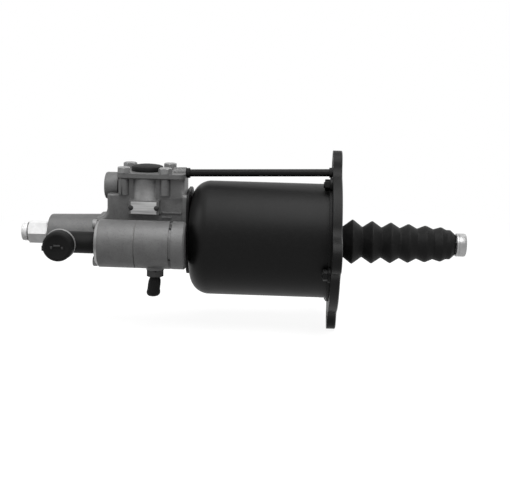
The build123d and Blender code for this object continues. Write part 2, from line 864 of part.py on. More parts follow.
with BuildPart() as exhaust_cap:
    turn(
        (cap_rear, elbow_collar_radius + fit_clearance),
        (cap_rear, cap_radius),
        (cap_front, cap_radius),
        (cap_front, 0),
        (cap_front - cap_wall, 0),
        (cap_front - cap_wall, elbow_collar_radius + fit_clearance),
        axis_plane=outlet_axis,
    )
    fillet(exhaust_cap.faces().sort_by(Axis.Y)[0].edges(), cap_rounding)
    with BuildSketch(Plane.XZ.offset(cap_front)):
        with Locations((corner_x, 0)):
            SlotOverall(cap_bar_length, cap_bar_width)
    extrude(amount=cap_bar_height)
finish(exhaust_cap, "exhaust_cap")

# Bleed screw with its rubber cap, under the barrel
bleed_axis = Plane(origin=(bleed_x, barrel_y, 0), x_dir=(0, 0, -1), z_dir=(0, 1, 0))
bleed_hex_end = bleed_hex_height - bleed_seat_z
bleed_nipple_end = bleed_hex_end + bleed_nipple_length
with BuildPart() as bleed_screw:
    with BuildSketch(Plane.XY.offset(bleed_seat_z)):
        with Locations((bleed_x, barrel_y)):
            RegularPolygon(bleed_flats / 2, 6, major_radius=False)
    extrude(amount=-bleed_hex_height)
    rod(
        -bleed_seat_z - bleed_thread_length + screw_end_gap,
        -bleed_seat_z,
        bleed_thread_radius - fit_clearance,
        axis_plane=bleed_axis,
    )
    turn(
        (bleed_hex_end, 0),
        (bleed_hex_end, bleed_nipple_radius),
        (bleed_nipple_end - bleed_nipple_taper_length, bleed_nipple_radius),
        (bleed_nipple_end, bleed_nipple_radius - bleed_nipple_taper),
        (bleed_nipple_end, 0),
        axis_plane=bleed_axis,
    )
    rod(bleed_hex_end, bleed_nipple_end, bleed_passage_radius, axis_plane=bleed_axis, mode=Mode.SUBTRACT)
finish(bleed_screw, "bleed_screw")

with BuildPart() as bleed_cap:
    cap_mouth = bleed_hex_end + bleed_cap_from_hex
    cap_end = cap_mouth + bleed_cap_length
    bulge_start = cap_end - bleed_cap_bulge_length
    turn(
        (cap_mouth, bleed_nipple_radius + fit_clearance),
        (cap_mouth, bleed_cap_radius),
        (bulge_start, bleed_cap_radius),
        (bulge_start + bleed_cap_bulge_slope, bleed_cap_bulge),
        (cap_end - bleed_cap_rounding, bleed_cap_bulge),
        (cap_end, bleed_cap_bulge - bleed_cap_rounding),
        (cap_end, 0),
        (bleed_nipple_end + fit_clearance, 0),
        (bleed_nipple_end + fit_clearance, bleed_nipple_radius + fit_clearance),
        axis_plane=bleed_axis,
    )
finish(bleed_cap, "bleed_cap")

# Top cover with gasket, bolts and the rubber vent flap
cover_left = tower_left - cover_end_margin
cover_right = tower_right + cover_overhang
cover_width = cover_bolt_spacing_y + 2 * cover_front_margin
tube_left = Vector(cover_right, tube_left_y, tube_left_height)
tube_right = Vector(flange_back, tube_right_y, tube_right_height)
tube_direction = (tube_right - tube_left).normalized()
tube_length = (tube_right - tube_left).length
tube_axis = Plane(
    origin=tube_left,
    x_dir=tube_direction,
    z_dir=tube_direction.cross(Vector(0, 0, 1)),
)
with BuildPart() as top_cover:
    rod(-tube_boss_length, 0, tube_boss_radius, axis_plane=tube_axis)
    split(bisect_by=Plane.XY.offset(cover_base), keep=Keep.TOP)
    with BuildSketch(Plane.XY.offset(cover_base)):
        with Locations(((cover_left + cover_right) / 2, 0)):
            RectangleRounded(cover_right - cover_left, cover_width, cover_corner)
    extrude(amount=cover_thickness)
    rod(-tube_depth, overlap, tube_radius + fit_clearance, axis_plane=tube_axis, mode=Mode.SUBTRACT)
    with BuildSketch(Plane.XY.offset(cover_base)):
        with Locations((column_x, 0)):
            Circle(vent_stem_radius + fit_clearance)
            with GridLocations(cover_bolt_spacing_x, cover_bolt_spacing_y, 2, 2):
                Circle(cover_bolt / 2 + bolt_clearance)
    extrude(amount=cover_thickness, mode=Mode.SUBTRACT)
finish(top_cover, "top_cover")

with BuildPart() as top_cover_gasket:
    with BuildSketch(Plane.XY.offset(tower_top)):
        with Locations(((tower_left + tower_right) / 2, 0)):
            RectangleRounded(tower_right - tower_left, cover_bolt_spacing_y + 2 * boss_radius, boss_radius)
        with Locations((column_x, 0)):
            Circle(column_chamber_radius, mode=Mode.SUBTRACT)
            with GridLocations(cover_bolt_spacing_x, cover_bolt_spacing_y, 2, 2):
                Circle(cover_bolt / 2 + bolt_clearance, mode=Mode.SUBTRACT)
    extrude(amount=cover_gasket)
finish(top_cover_gasket, "top_cover_gasket")

with BuildPart() as top_cover_bolts:
    with BuildSketch(Plane.XY.offset(cover_top)):
        with Locations((column_x, 0)):
            with GridLocations(cover_bolt_spacing_x, cover_bolt_spacing_y, 2, 2):
                RegularPolygon(cover_bolt_flats / 2, 6, major_radius=False)
    extrude(amount=cover_bolt_head)
    chamfer(top_cover_bolts.faces().sort_by(Axis.Z)[-4:].edges(), bolt_head_chamfer)
    with BuildSketch(Plane.XY.offset(cover_top)):
        with Locations((column_x, 0)):
            with GridLocations(cover_bolt_spacing_x, cover_bolt_spacing_y, 2, 2):
                Circle(cover_bolt / 2 - fit_clearance)
    extrude(amount=-cover_bolt_length)
finish(top_cover_bolts, "top_cover_bolts")

vent_axis = Plane(origin=(column_x, 0, 0), x_dir=(0, 0, 1), z_dir=(0, -1, 0))
vent_top = cover_top + vent_side_height
with BuildPart() as vent_flap:
    turn(
        (cover_top - vent_stem_length, 0),
        (cover_top - vent_stem_length, vent_stem_radius - vent_stem_taper),
        (cover_top - vent_stem_length + vent_stem_taper_length, vent_stem_radius),
        (cover_top, vent_stem_radius),
        (cover_top, vent_radius),
        (vent_top, vent_radius),
        (vent_top + vent_shoulder_height, vent_shoulder_radius),
        (vent_top + vent_crown_height, 0),
        axis_plane=vent_axis,
    )
    fillet(vent_flap.edges().filter_by(GeomType.CIRCLE).group_by(Axis.Z)[-2], vent_rounding)
finish(vent_flap, "vent_flap")

# Bare name plate with notched ends, held by two drive rivets
rivet_places = [(column_x + side * name_plate_length / 2, name_plate_level) for side in (-1, 1)]
with BuildPart() as name_plate:
    with BuildSketch(Plane.XZ.offset(-pad_front)):
        with Locations((column_x, name_plate_level)):
            Rectangle(name_plate_length, name_plate_height)
        with Locations(*rivet_places):
            Circle(rivet_radius, mode=Mode.SUBTRACT)
    extrude(amount=name_plate_thickness)
finish(name_plate, "name_plate")

with BuildPart() as plate_rivets:
    with BuildSketch(Plane.XZ.offset(-pad_front)):
        with Locations(*rivet_places):
            Circle(rivet_radius - fit_clearance)
    extrude(amount=name_plate_thickness)
    with BuildSketch(Plane.XZ.offset(name_plate_thickness - pad_front)):
        with Locations(*rivet_places):
            Circle(rivet_head_radius)
    extrude(amount=rivet_head_height, taper=rivet_head_taper)
finish(plate_rivets, "plate_rivets")

# Hydraulic adapter: hexagon, round collar with a groove behind it, and a sealing washer
washer_left = extension_end - washer_thickness
hex_left = washer_left - adapter_hex_length
collar_left = hex_left - adapter_collar_length
with BuildPart() as hydraulic_adapter:
    with BuildSketch(Plane.YZ.offset(hex_left)):
        RegularPolygon(adapter_flats / 2, 6, major_radius=False)
    extrude(amount=adapter_hex_length)
    turn(
        (hex_left, 0),
        (hex_left, adapter_flats / 2),
        (hex_left + adapter_chamfer, adapter_flats / 2 + adapter_hex_corner),
        (washer_left - adapter_chamfer, adapter_flats / 2 + adapter_hex_corner),
        (washer_left, adapter_flats / 2),
        (washer_left, 0),
        mode=Mode.INTERSECT,
    )
    rod(washer_left, washer_left + adapter_thread_length, adapter_thread_radius - fit_clearance)
    turn(
        (collar_left, 0),
        (collar_left, adapter_collar_radius - adapter_chamfer),
        (collar_left + adapter_chamfer, adapter_collar_radius),
        (hex_left - adapter_groove, adapter_collar_radius),
        (hex_left - adapter_groove, adapter_collar_radius - adapter_groove_depth),
        (hex_left, adapter_collar_radius - adapter_groove_depth),
        (hex_left, 0),
    )
    rod(
        collar_left,
        washer_left + adapter_thread_length,
        adapter_passage_radius,
        mode=Mode.SUBTRACT,
    )
    rod(collar_left, collar_left + adapter_port_depth, adapter_port_radius, mode=Mode.SUBTRACT)
finish(hydraulic_adapter, "hydraulic_adapter")

with BuildPart() as adapter_washer:
    rod(washer_left, extension_end, washer_radius, bore=adapter_thread_radius)
finish(adapter_washer, "adapter_washer")

# Mounting flange: a plate with four lobes, a pilot ring in the can and a relief round the bellows
tube_end = tube_length + tube_flange_depth
with BuildPart() as mounting_flange:
    with BuildSketch(Plane.YZ.offset(flange_back)) as lobes:
        Circle(flange_radius)
        with PolarLocations(lobe_centre_radius, 4):
            Circle(lobe_radius)
        fillet(lobes.vertices(), lobe_blend)
    extrude(amount=flange_thickness)
    chamfer(mounting_flange.faces().sort_by(Axis.X)[-1].edges(), flange_chamfer)
    rod(
        flange_back - pilot_depth,
        flange_back,
        can_inner_radius - fit_clearance,
        bore=can_inner_radius - pilot_width,
    )
    rod(
        tube_length - overlap,
        tube_end,
        tube_radius + fit_clearance,
        axis_plane=tube_axis,
        mode=Mode.SUBTRACT,
    )
    rod(
        tube_end - overlap,
        tube_length + flange_thickness + overlap,
        tube_vent_radius,
        axis_plane=tube_axis,
        mode=Mode.SUBTRACT,
    )
    rod(flange_back, 0, bellows_neck_radius + fit_clearance, mode=Mode.SUBTRACT)
    rod(-relief_depth, 0, relief_radius, mode=Mode.SUBTRACT)
    with Locations(Plane.YZ):
        with PolarLocations(mounting_circle / 2, 4):
            Hole(mounting_hole / 2)
        with PolarLocations(flange_bolt_circle / 2, 4, start_angle=flange_bolt_angle):
            CounterSinkHole(flange_bolt / 2 + fit_clearance, flange_bolt + sink_clearance, flange_thickness)
finish(mounting_flange, "mounting_flange")

# Countersunk bolts and nuts that hold the can's ears to the flange
nut_right = flange_back - can_rim
nut_left = nut_right - flange_nut_height
with BuildPart() as flange_bolt_form:
    with Locations((0, 0, -head_sink)):
        Cone(
            flange_bolt / 2,
            flange_bolt - head_clearance,
            flange_bolt / 2,
            align=(Align.CENTER, Align.CENTER, Align.MAX),
        )
    with Locations((0, 0, nut_left - flange_bolt_past_nut)):
        Cylinder(
            flange_bolt / 2 - fit_clearance,
            -nut_left,
            align=(Align.CENTER, Align.CENTER, Align.MIN),
        )
with BuildPart() as flange_bolts:
    with Locations(Plane.YZ):
        with PolarLocations(flange_bolt_circle / 2, 4, start_angle=flange_bolt_angle):
            add(flange_bolt_form.part)
finish(flange_bolts, "flange_bolts")

with BuildPart() as flange_nuts:
    with BuildSketch(Plane.YZ.offset(nut_left)):
        with PolarLocations(flange_bolt_circle / 2, 4, start_angle=flange_bolt_angle):
            RegularPolygon(flange_nut_flats / 2, 6, major_radius=False)
            Circle(flange_bolt / 2, mode=Mode.SUBTRACT)
    extrude(amount=flange_nut_height)
finish(flange_nuts, "flange_nuts")

# Breather tube with a rubber ring at each socket
with BuildPart() as breather_tube:
    rod(
        tube_end_gap - tube_depth,
        tube_end - tube_end_gap,
        tube_radius,
        bore=tube_radius - tube_wall,
        axis_plane=tube_axis,
    )
finish(breather_tube, "breather_tube")

with BuildPart() as tube_seals:
    for seal_start in (tube_seal_gap, tube_length - tube_seal_length - tube_seal_gap):
        rod(
            seal_start,
            seal_start + tube_seal_length,
            tube_seal_radius,
            bore=tube_radius + fit_clearance,
            axis_plane=tube_axis,
        )
finish(tube_seals, "tube_seals")

# Socket-head bolts inside the can, and the ring that seals the spigot
with BuildPart() as cylinder_bolts:
    with BuildSketch(Plane.YZ.offset(can_seat_x + can_wall)):
        with PolarLocations(cylinder_bolt_circle / 2, 4, start_angle=45):
            Circle(cylinder_bolt_head_radius)
    extrude(amount=cylinder_bolt)
    with BuildSketch(Plane.YZ.offset(can_seat_x + can_wall)):
        with PolarLocations(cylinder_bolt_circle / 2, 4, start_angle=45):
            Circle(cylinder_bolt / 2 - fit_clearance)
    extrude(amount=housing_face - can_seat_x - can_wall - cylinder_bolt_depth + screw_end_gap)
finish(cylinder_bolts, "cylinder_bolts")

with BuildPart() as spigot_o_ring:
    with BuildSketch(Plane.XZ) as ring_section:
        with Locations((ring_centre, spigot_radius - spigot_ring / 2 + spigot_ring_squeeze)):
            Circle(spigot_ring / 2 - 2 * spigot_ring_squeeze)
    revolve(ring_section.sketch, axis=Axis.X)
finish(spigot_o_ring, "spigot_o_ring")

# Servo piston with its tubular hub, lip seal and guide ring, at the outer end of its stroke
piston_left = piston_right - piston_width
rim_inner_radius = can_inner_radius - piston_rim
piston_radius = can_inner_radius - running_clearance
seal_left = piston_left + piston_seal_from_left
seal_floor = can_inner_radius - piston_seal_height
ring_left = piston_right - guide_ring_from_right - guide_ring_width
ring_floor = can_inner_radius - guide_ring_height
hub_floor = hub_left + hub_end_wall
with BuildPart() as servo_piston:
    turn(
        (hub_left, plunger_stub_radius),
        (hub_left, hub_radius),
        (web_left, hub_radius),
        (web_left, rim_inner_radius),
        (piston_left, rim_inner_radius),
        (piston_left, piston_radius),
        (seal_left, piston_radius),
        (seal_left, seal_floor),
        (seal_left + piston_seal_width, seal_floor),
        (seal_left + piston_seal_width, piston_radius),
        (ring_left, piston_radius),
        (ring_left, ring_floor),
        (ring_left + guide_ring_width, ring_floor),
        (ring_left + guide_ring_width, piston_radius),
        (piston_right, piston_radius),
        (piston_right, rim_inner_radius),
        (web_right, rim_inner_radius),
        (web_right, hub_bore_radius),
        (hub_floor, hub_bore_radius),
        (hub_floor, plunger_stub_radius),
    )
finish(servo_piston, "servo_piston")

with BuildPart() as piston_seal:
    turn(
        (seal_left + fit_clearance, seal_floor + fit_clearance),
        (seal_left + fit_clearance, piston_radius),
        (seal_left + piston_lip_width, piston_radius),
        (seal_left + piston_lip_slope, seal_floor + piston_lip_floor),
        (seal_left + piston_seal_width - fit_clearance, piston_radius),
        (seal_left + piston_seal_width - fit_clearance, seal_floor + fit_clearance),
    )
finish(piston_seal, "piston_seal")

with BuildPart() as guide_ring:
    rod(
        ring_left + fit_clearance,
        ring_left + guide_ring_width - fit_clearance,
        piston_radius,
        bore=ring_floor + fit_clearance,
    )
finish(guide_ring, "guide_ring")

# Hydraulic plunger: the head runs in the housing bore, the shank carries the servo piston
plunger_seal_left = head_left + plunger_seal_from_left
with BuildPart() as hydraulic_plunger:
    turn(
        (head_left, 0),
        (head_left, bore_radius - running_clearance - plunger_chamfer),
        (head_left + plunger_chamfer, bore_radius - running_clearance),
        (plunger_seal_left, bore_radius - running_clearance),
        (plunger_seal_left, bore_radius - plunger_seal_height),
        (plunger_seal_left + plunger_seal_width, bore_radius - plunger_seal_height),
        (plunger_seal_left + plunger_seal_width, bore_radius - running_clearance),
        (head_right, bore_radius - running_clearance),
        (head_right, plunger_shank_radius),
        (hub_left, plunger_shank_radius),
        (hub_left, plunger_stub_radius - fit_clearance),
        (hub_floor, plunger_stub_radius - fit_clearance),
        (hub_floor, 0),
    )
finish(hydraulic_plunger, "hydraulic_plunger")

with BuildPart() as plunger_seal:
    rod(
        plunger_seal_left + fit_clearance,
        plunger_seal_left + plunger_seal_width - fit_clearance,
        bore_radius - running_clearance,
        bore=bore_radius - plunger_seal_height + fit_clearance,
    )
finish(plunger_seal, "plunger_seal")

# Guide bush, seal and circlip that close the hydraulic cylinder round the shank
with BuildPart() as plunger_guide:
    rod(
        guide_left,
        guide_right,
        plunger_guide_radius - fit_clearance,
        bore=plunger_shank_radius + running_clearance,
    )
finish(plunger_guide, "plunger_guide")

with BuildPart() as shank_seal:
    rod(
        shank_seal_left,
        guide_left,
        plunger_guide_radius - fit_clearance,
        bore=plunger_shank_radius + running_clearance,
    )
finish(shank_seal, "shank_seal")

with BuildPart() as guide_circlip:
    with BuildSketch(Plane.YZ.offset(guide_right + fit_clearance)):
        Circle(plunger_guide_radius + guide_circlip_height - fit_clearance)
        Circle(plunger_guide_radius - guide_circlip_height, mode=Mode.SUBTRACT)
        with Locations((0, plunger_guide_radius)):
            Rectangle(guide_circlip_gap, 2 * guide_circlip_gap_depth, mode=Mode.SUBTRACT)
    extrude(amount=guide_circlip_width - 2 * fit_clearance)
finish(guide_circlip, "guide_circlip")

# Preload spring between the can's crown and the piston
coil_outer_radius = preload_radius + preload_wire / 2
crown_at_coil = (coil_outer_radius - can_seat_radius) * tan(radians(can_crown_angle))
with BuildPart() as preload_spring:
    coil(
        can_seat_x + can_wall + crown_at_coil + stop_gap,
        web_left - fit_clearance,
        preload_radius,
        preload_wire,
        preload_turns,
    )
finish(preload_spring, "preload_spring")

# Push rod: a ball in a cup at the bottom of the hub, kept there by a ring
ball_x = hub_floor + rod_seat_length
with BuildPart() as rod_seat:
    rod(hub_floor, ball_x, hub_bore_radius - fit_clearance)
    with Locations((ball_x, 0, 0)):
        Sphere(rod_ball_radius + running_clearance, mode=Mode.SUBTRACT)
finish(rod_seat, "rod_seat")

retainer_left = ball_x + rod_retainer_offset
with BuildPart() as rod_retainer:
    rod(
        retainer_left,
        retainer_left + rod_retainer_width,
        hub_bore_radius - fit_clearance,
        bore=rod_retainer_radius,
    )
finish(rod_retainer, "rod_retainer")

crests = [
    (
        first_crest + i * first_pitch - pitch_loss * i * (i - 1) / 2,
        first_crest_radius - i * crest_loss,
    )
    for i in range(convolutions)
]
cuff_left = crests[-1][0] + cuff_gap
cuff_right = cuff_left + cuff_length + cuff_chamfer
rod_right = cuff_right + rod_past_cuff
with BuildPart() as push_rod:
    turn(
        (ball_x, 0),
        (ball_x, rod_neck_radius),
        (ball_x + rod_neck_length, rod_neck_radius),
        (ball_x + rod_neck_length + rod_neck_cone, rod_radius),
        (rod_right, rod_radius),
        (rod_right, 0),
    )
    with Locations((ball_x, 0, 0)):
        Sphere(rod_ball_radius)
    rod(rod_right - rod_tip_stub_length, rod_right, rod_tip_stub_radius, mode=Mode.SUBTRACT)
finish(push_rod, "push_rod")

# Rod tip: screwed into the rod, with a cup for the fork lever's pin in its end
tip_right = rod_right + rod_tip_length
with BuildPart() as rod_tip:
    turn(
        (rod_right - rod_tip_stub_length + screw_end_gap, 0),
        (rod_right - rod_tip_stub_length + screw_end_gap, rod_tip_stub_radius - fit_clearance),
        (rod_right, rod_tip_stub_radius - fit_clearance),
        (rod_right, rod_tip_radius - rod_tip_inner_chamfer),
        (rod_right + rod_tip_inner_chamfer, rod_tip_radius),
        (tip_right - rod_tip_chamfer, rod_tip_radius),
        (tip_right, rod_tip_radius - rod_tip_chamfer),
        (tip_right, rod_tip_cup_radius),
        (tip_right - rod_tip_cup_depth, rod_tip_cup_radius),
        (tip_right - rod_tip_cup_depth, 0),
    )
finish(rod_tip, "rod_tip")

# Bellows: a lip and neck in the flange, tapering convolutions and a cuff on the rod
outer_wave = []
inner_wave = []
for i, (crest_x, crest_radius) in enumerate(crests):
    outer_wave.append((crest_x, crest_radius))
    inner_wave.append((crest_x, crest_radius - bellows_crest_wall))
    if i < convolutions - 1:
        valley_x = (crest_x + crests[i + 1][0]) / 2
        outer_wave.append((valley_x, valley_radius))
        inner_wave.append((valley_x, valley_radius - bellows_wall))
neck_bore = bellows_neck_radius - bellows_wall
with BuildPart() as bellows:
    with BuildSketch(Plane.XZ) as bellows_outline:
        with BuildLine():
            Polyline(
                (flange_back - bellows_lip_width, neck_bore),
                (flange_back - bellows_lip_width, bellows_lip_radius),
                (flange_back, bellows_lip_radius),
                (flange_back, bellows_neck_radius),
                (-relief_depth, bellows_neck_radius),
                (-relief_depth, bellows_collar_radius),
                (bellows_collar_width, bellows_collar_radius),
                (bellows_collar_width + bellows_collar_slope, bellows_neck_radius),
                *outer_wave,
                (cuff_left, cuff_radius),
                (cuff_left + cuff_length, cuff_radius),
                (cuff_right, cuff_end_radius),
                (cuff_right, rod_radius + fit_clearance),
                (cuff_left + cuff_step, rod_radius + fit_clearance),
                (cuff_left - cuff_step, cuff_radius - bellows_wall),
                *reversed(inner_wave),
                (bellows_collar_width + bellows_collar_slope, neck_bore),
                close=True,
            )
        make_face()
        wave_corners = bellows_outline.vertices().filter_by_position(Axis.X, first_crest, crests[-1][0])
        fillet(wave_corners.filter_by_position(Axis.Y, valley_radius, first_crest_radius), bellows_fillet)
    revolve(axis=Axis.X)
finish(bellows, "bellows")
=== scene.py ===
"""Looks of a truck's hydro-pneumatic clutch servo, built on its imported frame.

Lengths are in metres. +X is the way the push rod comes out, +Z is up, and the side barrel lies
towards -Y. Each operator makes one group of pieces, and main() calls them in order.
"""

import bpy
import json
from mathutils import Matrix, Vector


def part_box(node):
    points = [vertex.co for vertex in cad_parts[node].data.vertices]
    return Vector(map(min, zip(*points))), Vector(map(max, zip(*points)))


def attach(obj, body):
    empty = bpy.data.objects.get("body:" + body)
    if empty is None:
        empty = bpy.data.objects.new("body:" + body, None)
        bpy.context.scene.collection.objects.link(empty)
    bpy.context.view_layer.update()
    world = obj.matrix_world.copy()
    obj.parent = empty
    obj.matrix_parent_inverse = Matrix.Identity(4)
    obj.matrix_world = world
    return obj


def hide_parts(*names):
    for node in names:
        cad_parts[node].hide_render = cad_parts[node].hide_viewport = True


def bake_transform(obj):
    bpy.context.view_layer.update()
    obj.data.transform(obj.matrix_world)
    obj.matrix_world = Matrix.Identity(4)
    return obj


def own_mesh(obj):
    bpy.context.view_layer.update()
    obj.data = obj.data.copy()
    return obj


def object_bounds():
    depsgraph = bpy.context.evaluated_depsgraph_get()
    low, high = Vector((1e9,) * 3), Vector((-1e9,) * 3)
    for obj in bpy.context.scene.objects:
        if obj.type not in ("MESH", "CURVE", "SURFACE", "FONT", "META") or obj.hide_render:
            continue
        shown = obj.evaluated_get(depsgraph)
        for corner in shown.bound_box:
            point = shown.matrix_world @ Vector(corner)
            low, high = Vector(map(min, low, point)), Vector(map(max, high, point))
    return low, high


bl_info = {
    "name": "Clutch Servo Looks",
    "version": (1, 0, 0),
    "blender": (4, 5, 0),
    "location": "View3D > Sidebar > Clutch Servo",
    "description": "Builds the visible pieces and the finishes of a clutch servo",
    "category": "Add Mesh",
}

import json
from math import cos, pi, radians, sin

import bmesh
import bpy
from bpy.props import FloatProperty, FloatVectorProperty, PointerProperty
from mathutils import Matrix, Vector

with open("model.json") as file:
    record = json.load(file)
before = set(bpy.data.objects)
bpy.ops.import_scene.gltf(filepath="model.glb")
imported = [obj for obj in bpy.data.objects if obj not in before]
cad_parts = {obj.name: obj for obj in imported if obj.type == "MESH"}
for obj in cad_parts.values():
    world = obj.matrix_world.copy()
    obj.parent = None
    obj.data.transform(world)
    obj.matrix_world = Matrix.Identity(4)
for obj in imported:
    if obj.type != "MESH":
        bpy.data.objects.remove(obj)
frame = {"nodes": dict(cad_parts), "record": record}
cad_low, cad_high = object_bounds()

BODY = "servo_body"
MM = 0.001
MERGE_DISTANCE = 2e-6

# How far the joints travel, in millimetres
SERVO_STROKE = 70.0
RELAY_STROKE = 3.0
POPPET_STROKE = 2.0

# The picture's width and centre in pixels, the pixel of the frame's origin, and the scale there
PICTURE_WIDTH = 510
PICTURE_CENTRE = (255, 250.5)
ORIGIN_PIXEL = (338.5, 241.2)
PIXELS_PER_METRE = 1000


# Finishes


class Value:
    """A number that varies over a surface. Arithmetic on it adds Math nodes to its finish."""

    def __init__(self, finish, socket):
        self.finish = finish
        self.socket = socket

    def math(self, operation, *values):
        inputs = dict(enumerate(values))
        return self.finish.add("ShaderNodeMath", {"operation": operation}, inputs)

    def __add__(self, other):
        return self.math("ADD", self, other)

    __radd__ = __add__

    def __mul__(self, other):
        return self.math("MULTIPLY", self, other)

    def between(self, low, high):
        """0 below low, 1 above high, and smooth between them."""
        return self.finish.add(
            "ShaderNodeMapRange",
            {"interpolation_type": "SMOOTHSTEP", "clamp": True},
            {"Value": self, "From Min": low, "From Max": high, "To Min": 0.0, "To Max": 1.0},
        )


class Finish:
    """A material whose nodes are written as expressions."""

    def __init__(self, name):
        self.material = bpy.data.materials.new(name)
        self.material.use_nodes = True
        self.tree = self.material.node_tree
        self.tree.nodes.clear()
        self.place = self.add("ShaderNodeTexCoord", {}, {}, "Object")

    def add(self, kind, settings, inputs, output=0):
        node = self.tree.nodes.new(kind)
        for key, value in settings.items():
            setattr(node, key, value)
        for key, value in inputs.items():
            if isinstance(value, Value):
                self.tree.links.new(value.socket, node.inputs[key])
            else:
                node.inputs[key].default_value = value
        return Value(self, node.outputs[output])

    def noise(self, size, detail=3.0, roughness=0.55, stretch=(1, 1, 1)):
        """Cloudy noise whose blobs are about size across."""
        place = self.place
        if stretch != (1, 1, 1):
            place = self.add("ShaderNodeMapping", {}, {"Vector": place, "Scale": stretch})
        return self.add(
            "ShaderNodeTexNoise",
            {},
            {"Vector": place, "Scale": 1 / size, "Detail": detail, "Roughness": roughness},
        )

    def cells(self, size):
        """Distance to the nearest of scattered points, about size apart."""
        return self.add("ShaderNodeTexVoronoi", {}, {"Vector": self.place, "Scale": 1 / size})

    def blend(self, share, first, second):
        """A colour between two colours."""
        # The Mix node's colour sockets are numbers 6 and 7, and its colour result is number 2
        inputs = {0: share, 6: first, 7: second}
        return self.add("ShaderNodeMix", {"data_type": "RGBA"}, inputs, 2)

    def bump(self, height, depth, strength, edge=0.0):
        """A normal from a height, and rounded over sharp edges where edge has a radius."""
        inputs = {"Height": height, "Distance": depth, "Strength": strength}
        if edge:
            inputs["Normal"] = self.add("ShaderNodeBevel", {"samples": 4}, {"Radius": edge})
        return self.add("ShaderNodeBump", {}, inputs)

    def surface(self, **inputs):
        """Close the finish with a Principled shader, its sockets named in words."""
        named = {
            " ".join(word if word.isupper() else word.title() for word in key.split("_")): value
            for key, value in inputs.items()
        }
        shader = self.add("ShaderNodeBsdfPrincipled", {}, named)
        output = self.tree.nodes.new("ShaderNodeOutputMaterial")
        self.tree.links.new(shader.socket, output.inputs["Surface"])
        return self.material


def grey(value, warmth=0.0):
    """A neutral colour, a little warmer or cooler."""
    return (value * (1 + warmth), value, value * (1 - warmth), 1.0)


def cast_metal(name, tone, edge=0.0006):
    """Sand-cast aluminium: mottled grey with a rough skin and small pits."""
    finish = Finish(name)
    clouds = finish.noise(0.011, 3)
    skin = finish.noise(0.0022, 5, 0.65)
    pits = finish.cells(0.0017).between(0.0, 0.45)
    shade = clouds * 0.45 + skin * 0.40 + pits * 0.15
    colour = finish.blend(shade.between(0.30, 0.72), grey(tone * 0.76), grey(tone * 1.14))
    height = skin * 0.6 + pits * 0.4
    return finish.surface(
        base_color=colour,
        metallic=0.35,
        roughness=0.42 + skin * 0.18,
        normal=finish.bump(height, 0.0005, 0.38, edge),
    )


def machined_metal(name, tone, roughness, metallic=0.9, edge=0.0004):
    """Turned or plated metal with fine tool marks and a few dull spots."""
    finish = Finish(name)
    marks = finish.noise(0.0009, 3, 0.6, (7, 1, 1))
    spots = finish.noise(0.006, 4)
    colour = finish.blend(spots.between(0.25, 0.8), grey(tone * 0.86), grey(tone * 1.05))
    return finish.surface(
        base_color=colour,
        metallic=metallic,
        roughness=roughness + spots * 0.16,
        normal=finish.bump(marks, 0.0001, 0.35, edge),
    )


def satin_paint(name, tone, roughness=0.36, edge=0.0006, specular=0.13):
    """Black stoving paint with a fine orange peel and some dust in it."""
    finish = Finish(name)
    peel = finish.noise(0.0016, 2)
    waves = finish.noise(0.018, 2)
    dust = finish.noise(0.0045, 5, 0.7)
    colour = finish.blend(dust.between(0.42, 0.80), grey(tone), grey(tone * 1.8))
    return finish.surface(
        base_color=colour,
        roughness=roughness + dust * 0.10 + waves * 0.06,
        specular_IOR_level=specular,
        normal=finish.bump(peel, 0.00012, 0.30, edge),
    )


def moulded_rubber(name, tone, roughness=0.52, edge=0.0005):
    """Matte black rubber with a faint bloom."""
    finish = Finish(name)
    bloom = finish.noise(0.007, 4, 0.6)
    grain = finish.noise(0.0007, 2)
    colour = finish.blend(bloom.between(0.35, 0.75), grey(tone), grey(tone * 1.9))
    return finish.surface(
        base_color=colour,
        roughness=roughness + bloom * 0.14,
        specular_IOR_level=0.13,
        normal=finish.bump(grain, 0.00008, 0.5, edge),
    )


def moulded_plastic(name, tone, roughness=0.55, edge=0.0005):
    """Black moulded plastic with a fine spark-eroded grain."""
    finish = Finish(name)
    grain = finish.noise(0.0006, 3)
    flow = finish.noise(0.012, 2)
    colour = finish.blend(flow.between(0.3, 0.8), grey(tone), grey(tone * 1.5))
    return finish.surface(
        base_color=colour,
        roughness=roughness + flow * 0.12,
        specular_IOR_level=0.13,
        normal=finish.bump(grain, 0.00006, 0.5, edge),
    )


def brushed_plate(name, tone):
    """Bare aluminium sheet, brushed along its length."""
    finish = Finish(name)
    lines = finish.noise(0.0006, 4, 0.7, (0.05, 1, 1))
    wear = finish.noise(0.0030, 2, 0.5, (0.05, 1, 1))
    shade = (lines * 0.3 + wear * 0.7).between(0.32, 0.62)
    colour = finish.blend(shade, grey(tone * 0.55), grey(tone * 1.2))
    return finish.surface(
        base_color=colour,
        metallic=0.55,
        roughness=0.34 + lines * 0.2,
        normal=finish.bump(lines, 0.00006, 0.4),
    )


def pressed_fibre(name, tone):
    """Gasket fibre with short strands."""
    finish = Finish(name)
    strands = finish.noise(0.0009, 5, 0.7, (1, 1, 4))
    colour = finish.blend(strands, grey(tone * 0.7, 0.03), grey(tone * 1.2, 0.03))
    normal = finish.bump(strands, 0.0001, 0.6)
    return finish.surface(base_color=colour, roughness=0.85, normal=normal)


def coloured_metal(name, colour, roughness=0.3):
    """Brass and bronze of the inner pieces."""
    finish = Finish(name)
    tarnish = finish.noise(0.004, 4)
    dark = tuple(channel * 0.7 for channel in colour[:3]) + (1,)
    tint = finish.blend(tarnish.between(0.3, 0.7), dark, tuple(colour[:3]) + (1,))
    grain = finish.noise(0.0008, 2)
    return finish.surface(
        base_color=tint,
        metallic=1.0,
        roughness=roughness + tarnish * 0.15,
        normal=finish.bump(grain, 0.00005, 0.4),
    )


FINISHES = {}


